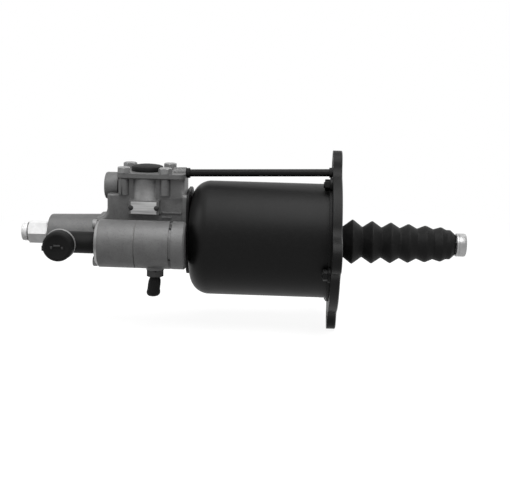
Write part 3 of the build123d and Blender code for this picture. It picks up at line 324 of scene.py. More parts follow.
def make_finishes(colours):
    """Make every finish, from the tones in the settings where they have one."""
    FINISHES.update(
        cast_aluminium=cast_metal("cast_aluminium", colours.casting),
        black_paint=satin_paint("black_paint", colours.paint),
        zinc_plate=machined_metal("zinc_plate", colours.zinc, roughness=0.28, metallic=0.12),
        dull_zinc=machined_metal("dull_zinc", colours.casting * 2.1, roughness=0.4, metallic=0.3),
        cut_aluminium=machined_metal("cut_aluminium", 0.42, roughness=0.34, metallic=0.35),
        turned_steel=machined_metal("turned_steel", 0.31, roughness=0.26, metallic=0.92),
        face_paint=satin_paint("face_paint", colours.paint, roughness=0.30, specular=0.6),
        # dark_steel is the dark steel of the bolts and rivets, and also the painted shade in the
        # side cover's and the adapter's grooves
        dark_steel=machined_metal("dark_steel", colours.dark_steel, roughness=0.38, metallic=0.4),
        ground_steel=machined_metal("ground_steel", 0.55, roughness=0.22),
        spring_steel=machined_metal("spring_steel", 0.32, roughness=0.35),
        black_rubber=moulded_rubber("black_rubber", colours.rubber),
        black_plastic=moulded_plastic("black_plastic", colours.plastic),
        # A lighter copy of the black plastic, a painted highlight for the cap's raised grip bars
        worn_plastic=moulded_plastic("worn_plastic", colours.plastic * 9),
        gasket_fibre=pressed_fibre("gasket_fibre", 0.20),
        brass=coloured_metal("brass", (0.62, 0.42, 0.16)),
        copper_washer=machined_metal("copper_washer", 0.50, roughness=0.45, metallic=0.8),
        bare_aluminium=brushed_plate("bare_aluminium", colours.plate),
    )


# Pieces


def piece(bm, name, finish, body=BODY, stands_for=(), sharp=35.0, closed=True):
    """Turn a bmesh into a finished piece that rides on a body."""
    bmesh.ops.remove_doubles(bm, verts=bm.verts, dist=MERGE_DISTANCE)
    if closed:
        bmesh.ops.recalc_face_normals(bm, faces=bm.faces)
    mesh = bpy.data.meshes.new(name)
    bm.to_mesh(mesh)
    bm.free()
    mesh.polygons.foreach_set("use_smooth", [True] * len(mesh.polygons))
    mesh.set_sharp_from_angle(angle=radians(sharp))
    mesh.materials.append(FINISHES[finish])
    made = bpy.data.objects.new(name, mesh)
    bpy.context.scene.collection.objects.link(made)
    if body:
        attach(made, body)
    if stands_for:
        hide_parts(*stands_for)
    return made


def node_form(node):
    """A merged copy of a node's mesh, to be finished as a piece of its own."""
    bm = bmesh.new()
    bm.from_mesh(frame["nodes"][node].data)
    bmesh.ops.remove_doubles(bm, verts=bm.verts, dist=MERGE_DISTANCE)
    bmesh.ops.dissolve_limit(bm, angle_limit=radians(0.6), verts=bm.verts, edges=bm.edges)
    return bm


def dressed(node, finish, body=BODY, sharp=32.0):
    """The node's own form with shaded curves and a finish."""
    return piece(node_form(node), node + "_dressed", finish, body, (node,), sharp, closed=False)


def refaced(made, finish, chosen):
    """Give another finish to the faces that chosen(centre, normal) picks."""
    made.data.materials.append(FINISHES[finish])
    for face in made.data.polygons:
        if chosen(face.center, face.normal):
            face.material_index = 1


AXES = {"X": Vector((1, 0, 0)), "Y": Vector((0, 1, 0)), "Z": Vector((0, 0, 1))}


def directions(axis):
    """The direction of an axis, and the one across it in which a profile is drawn."""
    return AXES[axis], AXES["X" if axis == "Z" else "Z"]


def turned(bm, axis, centre, profile, steps=96):
    """Spin a profile of (place, radius) points round a line along X, Y or Z."""
    along, out = directions(axis)
    centre = Vector(centre)
    points = [bm.verts.new(centre + along * place + out * radius) for place, radius in profile]
    edges = [bm.edges.new(pair) for pair in zip(points, points[1:])]
    bmesh.ops.spin(
        bm,
        geom=points + edges,
        cent=centre,
        axis=along,
        angle=2 * pi,
        steps=steps,
        use_merge=True,
    )


def arc_bar(bm, axis, centre, profile, start, end, steps=16):
    """Sweep a closed (place, radius) profile through part of a turn, and close its ends."""
    form = bmesh.new()
    along, out = directions(axis)
    out = Matrix.Rotation(start, 3, along) @ out
    centre = Vector(centre)
    points = [form.verts.new(centre + along * place + out * radius) for place, radius in profile]
    section = form.faces.new(points)
    bmesh.ops.spin(form, geom=[section], cent=centre, axis=along, angle=end - start, steps=steps)
    bmesh.ops.remove_doubles(form, verts=form.verts, dist=MERGE_DISTANCE)
    bmesh.ops.recalc_face_normals(form, faces=form.faces)
    join(bm, form)


def hexagon(bm, axis, centre, flats, profile, turn=0.0, steps=72):
    """A turned form cut to six flats, so that its chamfers curve as on a real head."""
    form = bmesh.new()
    turned(form, axis, centre, profile, steps)
    bmesh.ops.remove_doubles(form, verts=form.verts, dist=MERGE_DISTANCE)
    along, out = directions(axis)
    for i in range(6):
        way = Matrix.Rotation(radians(turn + 60 * i), 3, along) @ out
        cut = bmesh.ops.bisect_plane(
            form,
            geom=form.verts[:] + form.edges[:] + form.faces[:],
            dist=1e-7,
            plane_co=Vector(centre) + way * flats / 2,
            plane_no=way,
            clear_outer=True,
        )
        edges = [item for item in cut["geom_cut"] if isinstance(item, bmesh.types.BMEdge)]
        if edges:
            bmesh.ops.edgenet_fill(form, edges=edges)
    bmesh.ops.recalc_face_normals(form, faces=form.faces)
    join(bm, form)


def join(bm, other):
    """Add another bmesh to this one and free it."""
    mesh = bpy.data.meshes.new("part")
    other.to_mesh(mesh)
    other.free()
    bm.from_mesh(mesh)
    bpy.data.meshes.remove(mesh)


def block(bm, low, high, bevel):
    """A box between two corners, its edges rounded."""
    low, high = Vector(low), Vector(high)
    place = Matrix.Translation((low + high) / 2) @ Matrix.Diagonal((*(high - low), 1))
    made = bmesh.ops.create_cube(bm, size=1, matrix=place)
    edges = list({edge for vert in made["verts"] for edge in vert.link_edges})
    bmesh.ops.bevel(
        bm,
        geom=edges,
        offset=bevel,
        segments=2,
        profile=0.5,
        affect="EDGES",
        material=-1,
    )


def scaled(points):
    """Millimetres to metres."""
    return [(place * MM, radius * MM) for place, radius in points]


def threaded(start, end, radius, pitch, depth):
    """The profile of a thread's ridges, in millimetres."""
    points = []
    count = max(2, round((end - start) / pitch))
    for i in range(count):
        left = start + (end - start) * i / count
        points += [(left, radius - depth), (left + (end - start) / count / 2, radius)]
    return points + [(end, radius - depth)]


def wave(points):
    """The profile of bellows: soft crests and tight valleys through the given corners."""
    reach, crest_drop, valley_share = 1.5, 0.3, 0.6
    rounded = [points[0]]
    for before, here, after in zip(points, points[1:], points[2:]):
        for share in (-1, -0.5, 0, 0.5, 1):
            side = before if share < 0 else after
            part = abs(share) * reach / max(1e-6, abs(side[0] - here[0]))
            crest = here[1] > side[1]
            drop = crest_drop * (1 - abs(share)) ** 2 * (1 if crest else -valley_share)
            rounded.append(
                (
                    here[0] + (side[0] - here[0]) * part,
                    here[1] + (side[1] - here[1]) * part - drop,
                )
            )
    return [*rounded, points[-1]]


def centre_of(node):
    """The middle of a node's box."""
    low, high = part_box(node)
    return (low + high) / 2


# Settings


class ServoSizes(bpy.types.PropertyGroup):
    """Sizes of the details that the looks add."""

    bellows_wall: FloatProperty(
        name="Bellows wall", description="Thickness of the rubber", default=0.0018, unit="LENGTH"
    )
    nut_flats: FloatProperty(
        name="Nut flats", description="Flange nut across its flats", default=0.010, unit="LENGTH"
    )
    cover_bolt_flats: FloatProperty(
        name="Bolt flats", description="Cover bolt across its flats", default=0.012, unit="LENGTH"
    )
    bleed_flats: FloatProperty(
        name="Bleed flats", description="Bleed screw across its flats", default=0.016, unit="LENGTH"
    )
    adapter_flats: FloatProperty(
        name="Adapter flats", description="Adapter across its flats", default=0.0207, unit="LENGTH"
    )


class ServoColours(bpy.types.PropertyGroup):
    """Tones of the finishes, from 0, black, to 1, white."""

    casting: FloatProperty(name="Casting", description="Tone of the cast aluminium", default=0.125)
    paint: FloatProperty(name="Paint", description="Tone of the black paint", default=0.004)
    zinc: FloatProperty(name="Zinc", description="Tone of the zinc plating", default=0.86)
    # This tone also colours the painted shade in the side cover's and the adapter's grooves
    dark_steel: FloatProperty(name="Dark steel", description="Tone of the bolts", default=0.03)
    rubber: FloatProperty(name="Rubber", description="Tone of the rubber", default=0.006)
    plastic: FloatProperty(name="Plastic", description="Tone of the plastic", default=0.006)
    plate: FloatProperty(name="Plate", description="Tone of the name plate", default=0.50)


class ServoView(bpy.types.PropertyGroup):
    """Where the camera stands and how the servo is lit."""

    azimuth: FloatProperty(
        name="Azimuth",
        description="Camera angle round the servo",
        default=radians(2),
        subtype="ANGLE",
    )
    elevation: FloatProperty(
        name="Elevation",
        description="Camera angle above the horizon",
        default=radians(12),
        subtype="ANGLE",
    )
    roll: FloatProperty(
        name="Roll", description="Tilt of the picture", default=radians(1.45), subtype="ANGLE"
    )
    distance: FloatProperty(
        name="Distance",
        description="Camera distance from the mounting face",
        default=1.0,
        unit="LENGTH",
    )
    floor_tone: FloatVectorProperty(
        name="Floor", description="Colour of the floor", default=(0.25, 0.25, 0.25), subtype="COLOR"
    )
    floor_glow: FloatProperty(name="Glow", description="Light that the floor gives", default=0.92)
    bounce_tone: FloatProperty(
        name="Bounce", description="Tone of the floor for the light it sends up", default=0.10
    )
    world_level: FloatProperty(
        name="World", description="Strength of the world's diffuse light", default=0.06
    )


# Stage


def camera_basis(view):
    """The camera's right, up and back directions."""
    a, e, r = view.azimuth, view.elevation, view.roll
    back = Vector((sin(a) * cos(e), -cos(a) * cos(e), sin(e)))
    level = Vector((cos(a), sin(a), 0))
    rise = back.cross(level)
    right = level * cos(r) + rise * sin(r)
    up = rise * cos(r) - level * sin(r)
    return right, up, back


def make_camera(context, view):
    """A camera that shows the frame's origin at its pixel."""
    right, up, back = camera_basis(view)
    data = bpy.data.cameras.new("camera")
    data.sensor_width = 36
    data.lens = data.sensor_width * PIXELS_PER_METRE * view.distance / PICTURE_WIDTH
    data.clip_start, data.clip_end = 0.05, 50
    camera = bpy.data.objects.new("camera", data)
    aside = (ORIGIN_PIXEL[0] - PICTURE_CENTRE[0]) / PIXELS_PER_METRE
    above = (PICTURE_CENTRE[1] - ORIGIN_PIXEL[1]) / PIXELS_PER_METRE
    place = back * view.distance - right * aside - up * above
    turn = Matrix((right, up, back)).transposed().to_4x4()
    camera.matrix_world = Matrix.Translation(place) @ turn
    context.scene.collection.objects.link(camera)
    context.scene.camera = camera
    context.scene.view_settings.view_transform = "Standard"


def lamp(name, place, target, power, width, height):
    """A soft box that faces a target."""
    data = bpy.data.lights.new(name, "AREA")
    data.shape = "RECTANGLE"
    data.size = width
    data.size_y = height
    data.energy = power
    made = bpy.data.objects.new(name, data)
    made.location = place
    made.rotation_mode = "QUATERNION"
    made.rotation_quaternion = (Vector(place) - Vector(target)).to_track_quat("Z", "Y")
    bpy.context.scene.collection.objects.link(made)


def make_world(context, level):
    """White to the camera and in reflections, and of the given level for diffuse light."""
    world = bpy.data.worlds.new("studio")
    world.use_nodes = True
    nodes, links = world.node_tree.nodes, world.node_tree.links
    path = nodes.new("ShaderNodeLightPath")
    seen = nodes.new("ShaderNodeMath")
    seen.operation = "MAXIMUM"
    links.new(path.outputs["Is Camera Ray"], seen.inputs[0])
    links.new(path.outputs["Is Glossy Ray"], seen.inputs[1])
    seen_through = nodes.new("ShaderNodeMath")
    seen_through.operation = "MAXIMUM"
    links.new(seen.outputs[0], seen_through.inputs[0])
    links.new(path.outputs["Is Transmission Ray"], seen_through.inputs[1])
    strength = nodes.new("ShaderNodeMapRange")
    strength.inputs["To Min"].default_value = level
    strength.inputs["To Max"].default_value = 1.0
    links.new(seen_through.outputs[0], strength.inputs["Value"])
    links.new(strength.outputs[0], nodes["Background"].inputs["Strength"])
    nodes["Background"].inputs["Color"].default_value = (1, 1, 1, 1)
    context.scene.world = world


def make_floor(context, view):
    """A sheet that takes the shadow and turns white away from the servo."""
    finish = Finish("floor")
    seen = finish.add("ShaderNodeLightPath", {}, {}, "Is Camera Ray")
    mirrored = finish.add("ShaderNodeLightPath", {}, {}, "Is Glossy Ray")
    through = finish.add("ShaderNodeLightPath", {}, {}, "Is Transmission Ray")
    shown = seen.math("MAXIMUM", seen, seen.math("MAXIMUM", mirrored, through))
    reach = finish.add("ShaderNodeVectorMath", {"operation": "LENGTH"}, {0: finish.place}, "Value")
    far = reach.between(0.30, 0.75)
    colour = finish.blend(shown, grey(view.bounce_tone), (*view.floor_tone, 1))
    paper = finish.add("ShaderNodeBsdfDiffuse", {}, {"Color": colour})
    glow = finish.add("ShaderNodeEmission", {}, {"Strength": shown * view.floor_glow})
    near = finish.add("ShaderNodeAddShader", {}, {0: paper, 1: glow})
    white = finish.add("ShaderNodeEmission", {}, {"Strength": 1.0})
    floor_shader = finish.add("ShaderNodeMixShader", {}, {0: far * shown, 1: near, 2: white})
    output = finish.tree.nodes.new("ShaderNodeOutputMaterial")
    finish.tree.links.new(floor_shader.socket, output.inputs["Surface"])
    gap = 0.0005
    bm = bmesh.new()
    bmesh.ops.create_grid(bm, x_segments=1, y_segments=1, size=9)
    mesh = bpy.data.meshes.new("floor")
    bm.to_mesh(mesh)
    bm.free()
    mesh.transform(Matrix.Translation((0, 0, cad_low.z - gap)))
    mesh.materials.append(finish.material)
    floor = bpy.data.objects.new("floor", mesh)
    context.scene.collection.objects.link(floor)


class SERVO_OT_stage(bpy.types.Operator):
    """Make the camera, the lamps, the world and the floor"""

    bl_idname = "servo.stage"
    bl_label = "Stage"

    def execute(self, context):
        view = context.scene.servo_view
        make_camera(context, view)
        lamp("key", (0.06, -0.36, 1.03), (-0.02, 0, 0), power=14, width=0.8, height=1.15)
        lamp("left_strip", (-1.0, -0.35, 0.75), (-0.2, 0, 0), power=4.5, width=0.5, height=0.5)
        lamp("back_strip", (0.5, 0.8, 0.9), (-0.05, 0, 0), power=2, width=0.8, height=0.8)
        make_world(context, view.world_level)
        make_floor(context, view)
        return {"FINISHED"}


# Operators for the pieces


class SERVO_OT_castings(bpy.types.Operator):
    """Finish the housing and the side valve cover"""

    bl_idname = "servo.castings"
    bl_label = "Castings"

    def execute(self, context):
        dressed("main_housing", "cast_aluminium")
        cover = dressed("side_valve_cover", "cast_aluminium")
        low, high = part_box("side_valve_cover")
        chamfer_end = low.x + 0.0031
        refaced(
            cover,
            "cut_aluminium",
            lambda centre, normal: centre.x < chamfer_end and -0.95 < normal.x < -0.3,
        )
        # Two dark steel arcs in the joint groove are painted shade: they stand for the shadow in
        # the groove's recesses
        gasket, right_half, groove_from_end, groove_width = 0.6, 44.8, 10.2, 2.5
        left = high.x / MM + gasket + right_half - groove_from_end - groove_width
        right = left + groove_width
        inner, outer = 21.2, 22.95
        shade_section = [(left, inner), (right, inner), (right, outer), (left, outer)]
        bm = bmesh.new()
        y = centre_of("side_valve_cover").y
        for start, end in ((18, 35), (118, 160)):
            arc_bar(bm, "X", (0, y, 0), scaled(shade_section), radians(start), radians(end))
        piece(bm, "groove_shade_arcs", "dark_steel")
        dressed("side_cover_gasket", "gasket_fibre")
        return {"FINISHED"}


class SERVO_OT_air_cylinder(bpy.types.Operator):
    """Finish the deep-drawn can and the plate behind it"""

    bl_idname = "servo.air_cylinder"
    bl_label = "Air Cylinder"

    def execute(self, context):
        dressed("servo_cylinder", "black_paint")
        dressed("cylinder_base_plate", "black_paint")
        return {"FINISHED"}


class SERVO_OT_flange(bpy.types.Operator):
    """Finish the lobed mounting flange with its bolts and nuts"""

    bl_idname = "servo.flange"
    bl_label = "Mounting Flange"

    def execute(self, context):
        sizes = context.scene.servo_sizes
        flange = dressed("mounting_flange", "black_paint")
        refaced(flange, "face_paint", lambda centre, normal: normal.x > 0.5)
        # The wide faces between the holes are flat, and are shaded so
        for face in flange.data.polygons:
            face.use_smooth = abs(face.normal.x) < 0.999
        bm = bmesh.new()
        low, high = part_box("flange_nuts")
        left, right = low.x / MM, high.x / MM
        nut = [
            (left, 0.0),
            (left, 4.9),
            (left + 0.5, 5.7),
            (right - 0.4, 5.7),
            (right, 4.9),
            (right, 0.0),
        ]
        thread = threaded(left - 0.9, left + 0.1, radius=2.9, pitch=1.0, depth=0.3)
        stud = [(left - 1.0, 0.0), (left - 1.0, 2.5), *thread]
        circle, first_angle = 0.063, 20
        for i in range(4):
            angle = radians(first_angle + 90 * i)
            centre = Vector((0, cos(angle) * circle, sin(angle) * circle))
            hexagon(bm, "X", centre, sizes.nut_flats, scaled(nut), 15 * i)
            turned(bm, "X", centre, scaled(stud), 32)
        piece(bm, "flange_nut_set", "black_paint", stands_for=("flange_nuts",))
        dressed("flange_bolts", "black_paint")
        return {"FINISHED"}


class SERVO_OT_top_cover(bpy.types.Operator):
    """Build the top cover, its gasket, hexagon bolts and rubber vent flap"""

    bl_idname = "servo.top_cover"
    bl_label = "Top Cover"

    def execute(self, context):
        sizes = context.scene.servo_sizes
        dressed("top_cover", "cast_aluminium")
        dressed("top_cover_gasket", "gasket_fibre")
        bolt_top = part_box("top_cover_bolts")[1].z / MM
        head_height, bolt_length = 5.6, 16
        seat = bolt_top - head_height
        centre = centre_of("vent_flap")
        head = [
            (seat, 0.0),
            (seat, 6.4),
            (seat + 0.5, 6.9),
            (bolt_top - 0.9, 6.9),
            (bolt_top, 5.6),
            (bolt_top, 0.0),
        ]
        shank = [(seat - bolt_length, 0.0), (seat - bolt_length, 2.9), (seat + 0.5, 2.9)]
        from_centre_x, from_centre_y = 0.0203, 0.020
        bm = bmesh.new()
        for i, (side_x, side_y) in enumerate(((-1, -1), (1, -1), (-1, 1), (1, 1))):
            place = (centre.x + side_x * from_centre_x, side_y * from_centre_y, 0)
            hexagon(bm, "Z", place, sizes.cover_bolt_flats, scaled(head), 9 + 17 * i)
            turned(bm, "Z", place, scaled(shank), 32)
        piece(bm, "cover_bolt_set", "dull_zinc", stands_for=("top_cover_bolts",))
        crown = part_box("vent_flap")[1].z / MM
        bm = bmesh.new()
        profile = [
            (seat - 11, 0.0),
            (seat - 11, 5.5),
            (seat - 8, 7.0),
            (seat, 7.0),
            (seat, 15.2),
            (seat + 0.7, 15.8),
            (seat + 3.6, 15.8),
            (seat + 4.6, 15.2),
            (seat + 5.2, 13.6),
            (seat + 5.7, 11.0),
            (crown - 0.35, 7.0),
            (crown - 0.05, 3.0),
            (crown, 0.0),
        ]
        turned(bm, "Z", (centre.x, 0, 0), scaled(profile), 96)
        piece(bm, "vent_flap_moulding", "black_rubber", stands_for=("vent_flap",))
        return {"FINISHED"}


class SERVO_OT_breather(bpy.types.Operator):
    """Finish the breather tube and its rubber rings"""

    bl_idname = "servo.breather"
    bl_label = "Breather Tube"

    def execute(self, context):
        dressed("breather_tube", "black_paint")
        dressed("tube_seals", "black_rubber")
        return {"FINISHED"}


class SERVO_OT_exhaust(bpy.types.Operator):
    """Build the exhaust elbow, its clamp ring and the round cap"""

    bl_idname = "servo.exhaust"
    bl_label = "Exhaust Elbow"

    def execute(self, context):
        dressed("exhaust_elbow", "black_plastic")
        low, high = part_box("exhaust_cap")
        centre = (centre_of("elbow_clamp_ring").x, 0, 0)
        front, rear = low.y / MM, high.y / MM
        grip_height = 0.6
        face = front + grip_height
        bm = bmesh.new()
        profile = [
            (rear, 12.3),
            (rear, 14.0),
            (rear - 0.4, 14.3),
            (face + 2.6, 14.3),
            (face + 1.3, 13.9),
            (face + 0.4, 12.9),
            (face, 11.4),
            (face + 0.25, 10.8),
            (face + 0.25, 0.0),
        ]
        turned(bm, "Y", centre, scaled(profile), 96)
        nub = ((-15.2, face + 2.6, -4.6), (-13.0, face + 9, 0.4))
        block(bm, *(Vector((centre[0] + x * MM, y * MM, z * MM)) for x, y, z in nub), 0.0005)
        piece(
            bm, "exhaust_cap_moulding", "black_plastic", stands_for=("exhaust_cap",), closed=False
        )
        # The grip bars take the lighter plastic, a painted highlight where light catches the raised
        # bars
        grips = ((-3.2, 3.2, 0.2, 2.2), (-6.2, -4.2, -2.0, 0.6), (4.2, 6.2, -2.0, 0.6))
        bm = bmesh.new()
        for low_x, high_x, low_z, high_z in grips:
            block(
                bm,
                (centre[0] + low_x * MM, front * MM, low_z * MM),
                (centre[0] + high_x * MM, (face + 0.4) * MM, high_z * MM),
                0.0003,
            )
        piece(bm, "cap_grip", "worn_plastic", stands_for=("exhaust_cap",))
        low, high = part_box("elbow_clamp_ring")
        left, right = low.y / MM, high.y / MM
        radius = (high.x - low.x) / 2 / MM
        bm = bmesh.new()
        ring = [
            (left, 12.3),
            (left, radius - 0.5),
            (left + 0.4, radius),
            (right - 0.4, radius),
            (right, radius - 0.5),
            (right, 12.3),
            (left, 12.3),
        ]
        turned(bm, "Y", centre, scaled(ring), 96)
        piece(bm, "clamp_ring_turned", "dull_zinc", stands_for=("elbow_clamp_ring",))
        return {"FINISHED"}


class SERVO_OT_bleeder(bpy.types.Operator):
    """Build the bleed screw and its rubber cap"""

    bl_idname = "servo.bleeder"
    bl_label = "Bleed Screw"

    def execute(self, context):
        low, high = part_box("bleed_screw")
        cap_low, cap_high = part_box("bleed_cap")
        middle = centre_of("bleed_screw")
        centre = (middle.x, middle.y, 0)
        cap_from_hex, hex_height = 3.5, 6.5
        seat = cap_high.z / MM + cap_from_hex + hex_height
        hex_low = seat - hex_height
        bm = bmesh.new()
        head = [
            (hex_low, 0.0),
            (hex_low, 7.6),
            (hex_low + 0.8, 9.1),
            (seat - 0.8, 9.1),
            (seat, 7.6),
            (seat, 0.0),
        ]
        hexagon(bm, "Z", centre, context.scene.servo_sizes.bleed_flats, scaled(head), 8)
        nipple = [
            (hex_low, 4.2),
            (hex_low - 3.0, 4.2),
            (hex_low - 4.5, 3.2),
            (hex_low - 9.0, 3.2),
            (hex_low - 10.5, 4.1),
            (low.z / MM, 3.0),
            (low.z / MM, 1.2),
        ]
        turned(bm, "Z", centre, scaled(nipple), 48)
        stem = [(seat, 4.4), (high.z / MM, 4.4), (high.z / MM, 0.0)]
        turned(bm, "Z", centre, scaled(stem), 48)
        piece(bm, "bleed_screw_turned", "dark_steel", stands_for=("bleed_screw",))
        top, end = cap_high.z / MM, cap_low.z / MM
        collar = 2.6
        bm = bmesh.new()
        profile = [
            (top + collar, 4.3),
            (top + collar, 4.9),
            (top + 1.2, 5.2),
            (top - 1.0, 5.9),
            (top - 4.0, 6.1),
            (end + 7.0, 6.1),
            (end + 5.4, 6.5),
            (end + 3.6, 6.7),
            (end + 1.8, 6.1),
            (end + 0.6, 4.8),
            (end, 2.8),
            (end, 0.0),
        ]
        turned(bm, "Z", centre, scaled(profile), 64)
        # The cap leans and its end bulges to one side
        lean, bulge, bulge_from = -0.0022, 0.0008, 0.6
        root = cap_high.z + collar * MM
        for vert in bm.verts:
            down = (root - vert.co.z) / (root - cap_low.z)
            vert.co.x += lean * down + bulge * max(0.0, down - bulge_from)
        piece(bm, "bleed_cap_moulding", "black_rubber", stands_for=("bleed_cap",), closed=False)
        return {"FINISHED"}


class SERVO_OT_adapter(bpy.types.Operator):
    """Build the bright hydraulic adapter and its washer"""

    bl_idname = "servo.adapter"
    bl_label = "Hydraulic Adapter"

    def execute(self, context):
        low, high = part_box("hydraulic_adapter")
        end = low.x / MM
        collar_length = 7.0
        hex_left = end + collar_length
        hex_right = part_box("adapter_washer")[0].x / MM
        bm = bmesh.new()
        head = [
            (hex_left, 0.0),
            (hex_left, 10.4),
            (hex_left + 1.0, 12.0),
            (hex_right - 1.0, 12.0),
            (hex_right, 10.4),
            (hex_right, 0.0),
        ]
        hexagon(bm, "X", (0, 0, 0), context.scene.servo_sizes.adapter_flats, scaled(head))
        bore, ridge, half_pitch = 5.25, 0.35, 0.5
        bore_thread = [(end + 0.6 + i * half_pitch, bore - ridge * (i % 2)) for i in range(1, 23)]
        collar = [
            (hex_left, 8.2),
            (hex_left - 0.9, 8.2),
            (hex_left - 0.9, 9.0),
            (hex_left - 1.2, 9.2),
            (end + 2.0, 9.2),
            (end + 1.7, 8.9),
            (end + 1.3, 8.9),
            (end + 1.0, 9.1),
            (end + 0.5, 8.9),
            (end, 8.2),
            (end, 5.9),
            (end + 0.6, bore),
            *bore_thread,
            (end + 12.0, 3.0),
            (end + 14.0, 3.0),
            (end + 14.0, 0.0),
        ]
        turned(bm, "X", (0, 0, 0), scaled(collar), 96)
        stem_end, stem_radius = high.x / MM, 7.9
        thread = threaded(hex_right, stem_end, stem_radius, pitch=1.5, depth=0.5)
        stem = [(hex_right, stem_radius), *thread, (stem_end, 0.0)]
        turned(bm, "X", (0, 0, 0), scaled(stem), 48)
        piece(bm, "adapter_turned", "zinc_plate", stands_for=("hydraulic_adapter",), closed=False)
        # A dark steel ring in the groove behind the hexagon is painted shade, standing for the
        # groove's shadow
        left, right = hex_left - 1.1, hex_left - 0.05
        inner, outer = 8.0, 9.7
        ring = [(left, inner), (left, outer), (right, outer), (right, inner), (left, inner)]
        bm = bmesh.new()
        turned(bm, "X", (0, 0, 0), scaled(ring), 64)
        piece(bm, "adapter_groove_shade", "dark_steel")
        dressed("adapter_washer", "copper_washer")
        return {"FINISHED"}


class SERVO_OT_name_plate(bpy.types.Operator):
    """Finish the bare name plate and build its rivets"""

    bl_idname = "servo.name_plate"
    bl_label = "Name Plate"

    def execute(self, context):
        dressed("name_plate", "bare_aluminium")
        low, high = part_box("plate_rivets")
        level = centre_of("name_plate").z
        front = low.y / MM
        rivet = [
            (front + 1.8, 1.7),
            (front + 1.0, 1.7),
            (front + 1.0, 2.5),
            (front + 0.55, 2.3),
            (front + 0.15, 1.5),
            (front, 0.0),
        ]
        head_radius = 0.0025
        bm = bmesh.new()
        for x in (low.x + head_radius, high.x - head_radius):
            turned(bm, "Y", (x, 0, level), scaled(rivet), 32)
        piece(bm, "rivet_pair", "dark_steel", stands_for=("plate_rivets",))
        return {"FINISHED"}


class SERVO_OT_barrel_screws(bpy.types.Operator):
    """Build the socket-head screws of the side valve cover"""

    bl_idname = "servo.barrel_screws"
    bl_label = "Barrel Screws"

    def execute(self, context):
        low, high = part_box("side_cover_screws")
        left, right = low.x / MM, high.x / MM
        y = centre_of("side_cover_screws").y
        profile = [
            (left + 2.4, 0.0),
            (left + 2.4, 2.7),
            (left, 2.9),
            (left, 4.3),
            (left + 0.6, 4.9),
            (left + 4.0, 4.9),
            (left + 4.0, 2.95),
            (right, 2.95),
            (right, 0.0),
        ]
        from_axis = 0.018
        bm = bmesh.new()
        for z in (-from_axis, from_axis):
            turned(bm, "X", (0, y, z), scaled(profile), 48)
        piece(bm, "barrel_screw_pair", "dull_zinc", stands_for=("side_cover_screws",))
        return {"FINISHED"}


class SERVO_OT_bellows(bpy.types.Operator):
    """Build the rubber bellows in three lengths: the collar, the folds and the cuff"""

    bl_idname = "servo.bellows"
    bl_label = "Bellows"

    def execute(self, context):
        wall = context.scene.servo_sizes.bellows_wall / MM
        rubber = {"finish": "black_rubber", "stands_for": ("bellows",)}
        collar_end, inside, valley_radius, cuff_start, cuff_radius = 2.6, 13.2, 15.0, 106.2, 14.6
        crests = [
            (13.4, 22.5),
            (33.0, 21.5),
            (51.6, 20.6),
            (69.2, 19.6),
            (85.8, 18.5),
            (101.4, 17.4),
        ]
        valleys = [((a[0] + b[0]) / 2, valley_radius) for a, b in zip(crests, crests[1:])]
        fold = valleys[-1][0]

        bm = bmesh.new()
        collar = [
            (-11.2, inside),
            (-11.2, 17.3),
            (-9.05, 17.3),
            (-9.0, 15.0),
            (-1.0, 15.0),
            (-1.0, 16.5),
            (0.3, 16.6),
            (2.2, 16.6),
            (collar_end, 16.3),
            (collar_end, inside),
            (-11.2, inside),
        ]
        turned(bm, "X", (0, 0, 0), scaled(collar), 96)
        piece(bm, "bellows_collar", **rubber)

        corners = [(collar_end, 16.4), (collar_end + 1.0, valley_radius)]
        for crest, valley in zip(crests, valleys):
            corners += [crest, valley]
        outer = wave(corners)
        inner = [(x, r - wall) for x, r in reversed(outer)]
        bm = bmesh.new()
        turned(bm, "X", (0, 0, 0), scaled([*outer, *inner, outer[0]]), 96)
        folds = piece(bm, "bellows_folds", sharp=50, **rubber)
        keep = (fold - SERVO_STROKE - collar_end) / (fold - collar_end)
        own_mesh(folds)

        bm = bmesh.new()
        # A fine seam keeps the cuff clear of the folds
        seam, lip = fold + 0.02, 110.4
        corners = [(seam, valley_radius), crests[-1], (cuff_start, cuff_radius), (lip, cuff_radius)]
        tail = wave(corners)
        tail = [point for point in tail if point[0] <= lip]
        tail += [
            (110.8, 14.3),
            (115.4, 10.1),
            (115.6, 9.4),
            (115.6, 8.1),
            (107.2, 8.1),
            (105.2, 12.2),
            (101.4, 15.0),
            (seam, inside),
            (seam, valley_radius),
        ]
        turned(bm, "X", (0, 0, 0), scaled(tail), 96)
        cuff = piece(bm, "bellows_cuff", body=None, sharp=50, **rubber)
        fold * MM
        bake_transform(cuff)
        return {"FINISHED"}


class SERVO_OT_push_rod(bpy.types.Operator):
    """Finish the push rod and build its bright tip"""

    bl_idname = "servo.push_rod"
    bl_label = "Push Rod"

    def execute(self, context):
        dressed("push_rod", "ground_steel", "push_rod")
        low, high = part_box("rod_tip")
        head_length = 10.0
        right = high.x / MM
        left = right - head_length
        bm = bmesh.new()
        profile = [
            (low.x / MM, 0.0),
            (low.x / MM, 4.9),
            (left, 4.9),
            (left, 10.9),
            (left + 0.6, 11.5),
            (left + 2.2, 11.5),
            (left + 2.4, 11.2),
            (left + 2.9, 11.2),
            (left + 3.1, 11.5),
            (right - 1.6, 11.5),
            (right - 0.5, 11.1),
            (right, 10.3),
            (right, 7.0),
            (right - 0.5, 6.5),
            (right - 4.0, 6.3),
            (right - 5.4, 4.8),
            (right - 6.0, 2.5),
            (right - 6.0, 0.0),
        ]
        turned(bm, "X", (0, 0, 0), scaled(profile), 96)
        piece(bm, "rod_tip_turned", "turned_steel", "push_rod", ("rod_tip",))
        return {"FINISHED"}


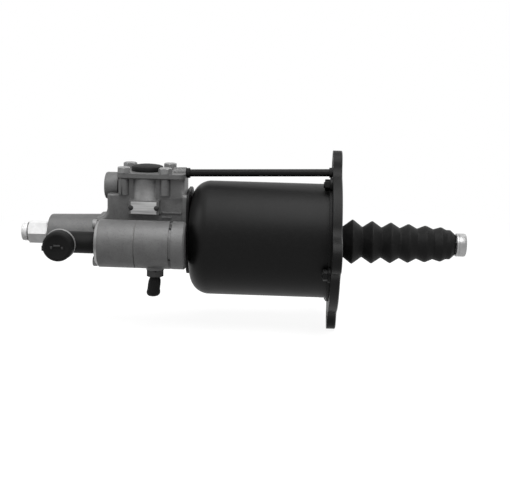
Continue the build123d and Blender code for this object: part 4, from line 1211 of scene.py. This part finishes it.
class SERVO_OT_inner_pieces(bpy.types.Operator):
    """Finish the pieces inside, and put smooth-shaded copies in place of the springs"""

    bl_idname = "servo.inner_pieces"
    bl_label = "Inner Pieces"

    def execute(self, context):
        record = frame["record"]
        slots = {item["node"]: item["material_slot"] for item in record["subparts"]}
        for name, node in frame["nodes"].items():
            node.data.materials.clear()
            node.data.materials.append(FINISHES[slots[name]])
        springs = (
            ("preload_spring", "servo_stroke", SERVO_STROKE),
            ("relay_spring", "relay_stroke", RELAY_STROKE),
            ("poppet_spring", "poppet_stroke", POPPET_STROKE),
        )
        for node, joint, travel in springs:
            made = piece(
                node_form(node),
                node + "_coil",
                "spring_steel",
                stands_for=(node,),
                sharp=50,
                closed=False,
            )
            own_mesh(made)
        return {"FINISHED"}


class SERVO_PT_panel(bpy.types.Panel):
    """The servo's operators, in the order in which they run"""

    bl_idname = "SERVO_PT_panel"
    bl_label = "Clutch Servo"
    bl_space_type = "VIEW_3D"
    bl_region_type = "UI"
    bl_category = "Clutch Servo"

    def draw(self, context):
        for operator in OPERATORS:
            self.layout.operator(operator.bl_idname)


SETTINGS = {"servo_sizes": ServoSizes, "servo_colours": ServoColours, "servo_view": ServoView}
OPERATORS = (
    SERVO_OT_stage,
    SERVO_OT_castings,
    SERVO_OT_air_cylinder,
    SERVO_OT_flange,
    SERVO_OT_top_cover,
    SERVO_OT_breather,
    SERVO_OT_exhaust,
    SERVO_OT_bleeder,
    SERVO_OT_adapter,
    SERVO_OT_name_plate,
    SERVO_OT_barrel_screws,
    SERVO_OT_bellows,
    SERVO_OT_push_rod,
    SERVO_OT_inner_pieces,
)


def register():
    for group in SETTINGS.values():
        bpy.utils.register_class(group)
    for name, group in SETTINGS.items():
        setattr(bpy.types.Scene, name, PointerProperty(type=group))
    for operator in OPERATORS:
        bpy.utils.register_class(operator)
    bpy.utils.register_class(SERVO_PT_panel)


def unregister():
    bpy.utils.unregister_class(SERVO_PT_panel)
    for operator in reversed(OPERATORS):
        bpy.utils.unregister_class(operator)
    for name, group in SETTINGS.items():
        delattr(bpy.types.Scene, name)
        bpy.utils.unregister_class(group)


def main():
    """Build the scene."""
    register()
    make_finishes(bpy.context.scene.servo_colours)
    for operator in OPERATORS:
        group, name = operator.bl_idname.split(".")
        getattr(getattr(bpy.ops, group), name)()


if __name__ == "__main__":
    main()
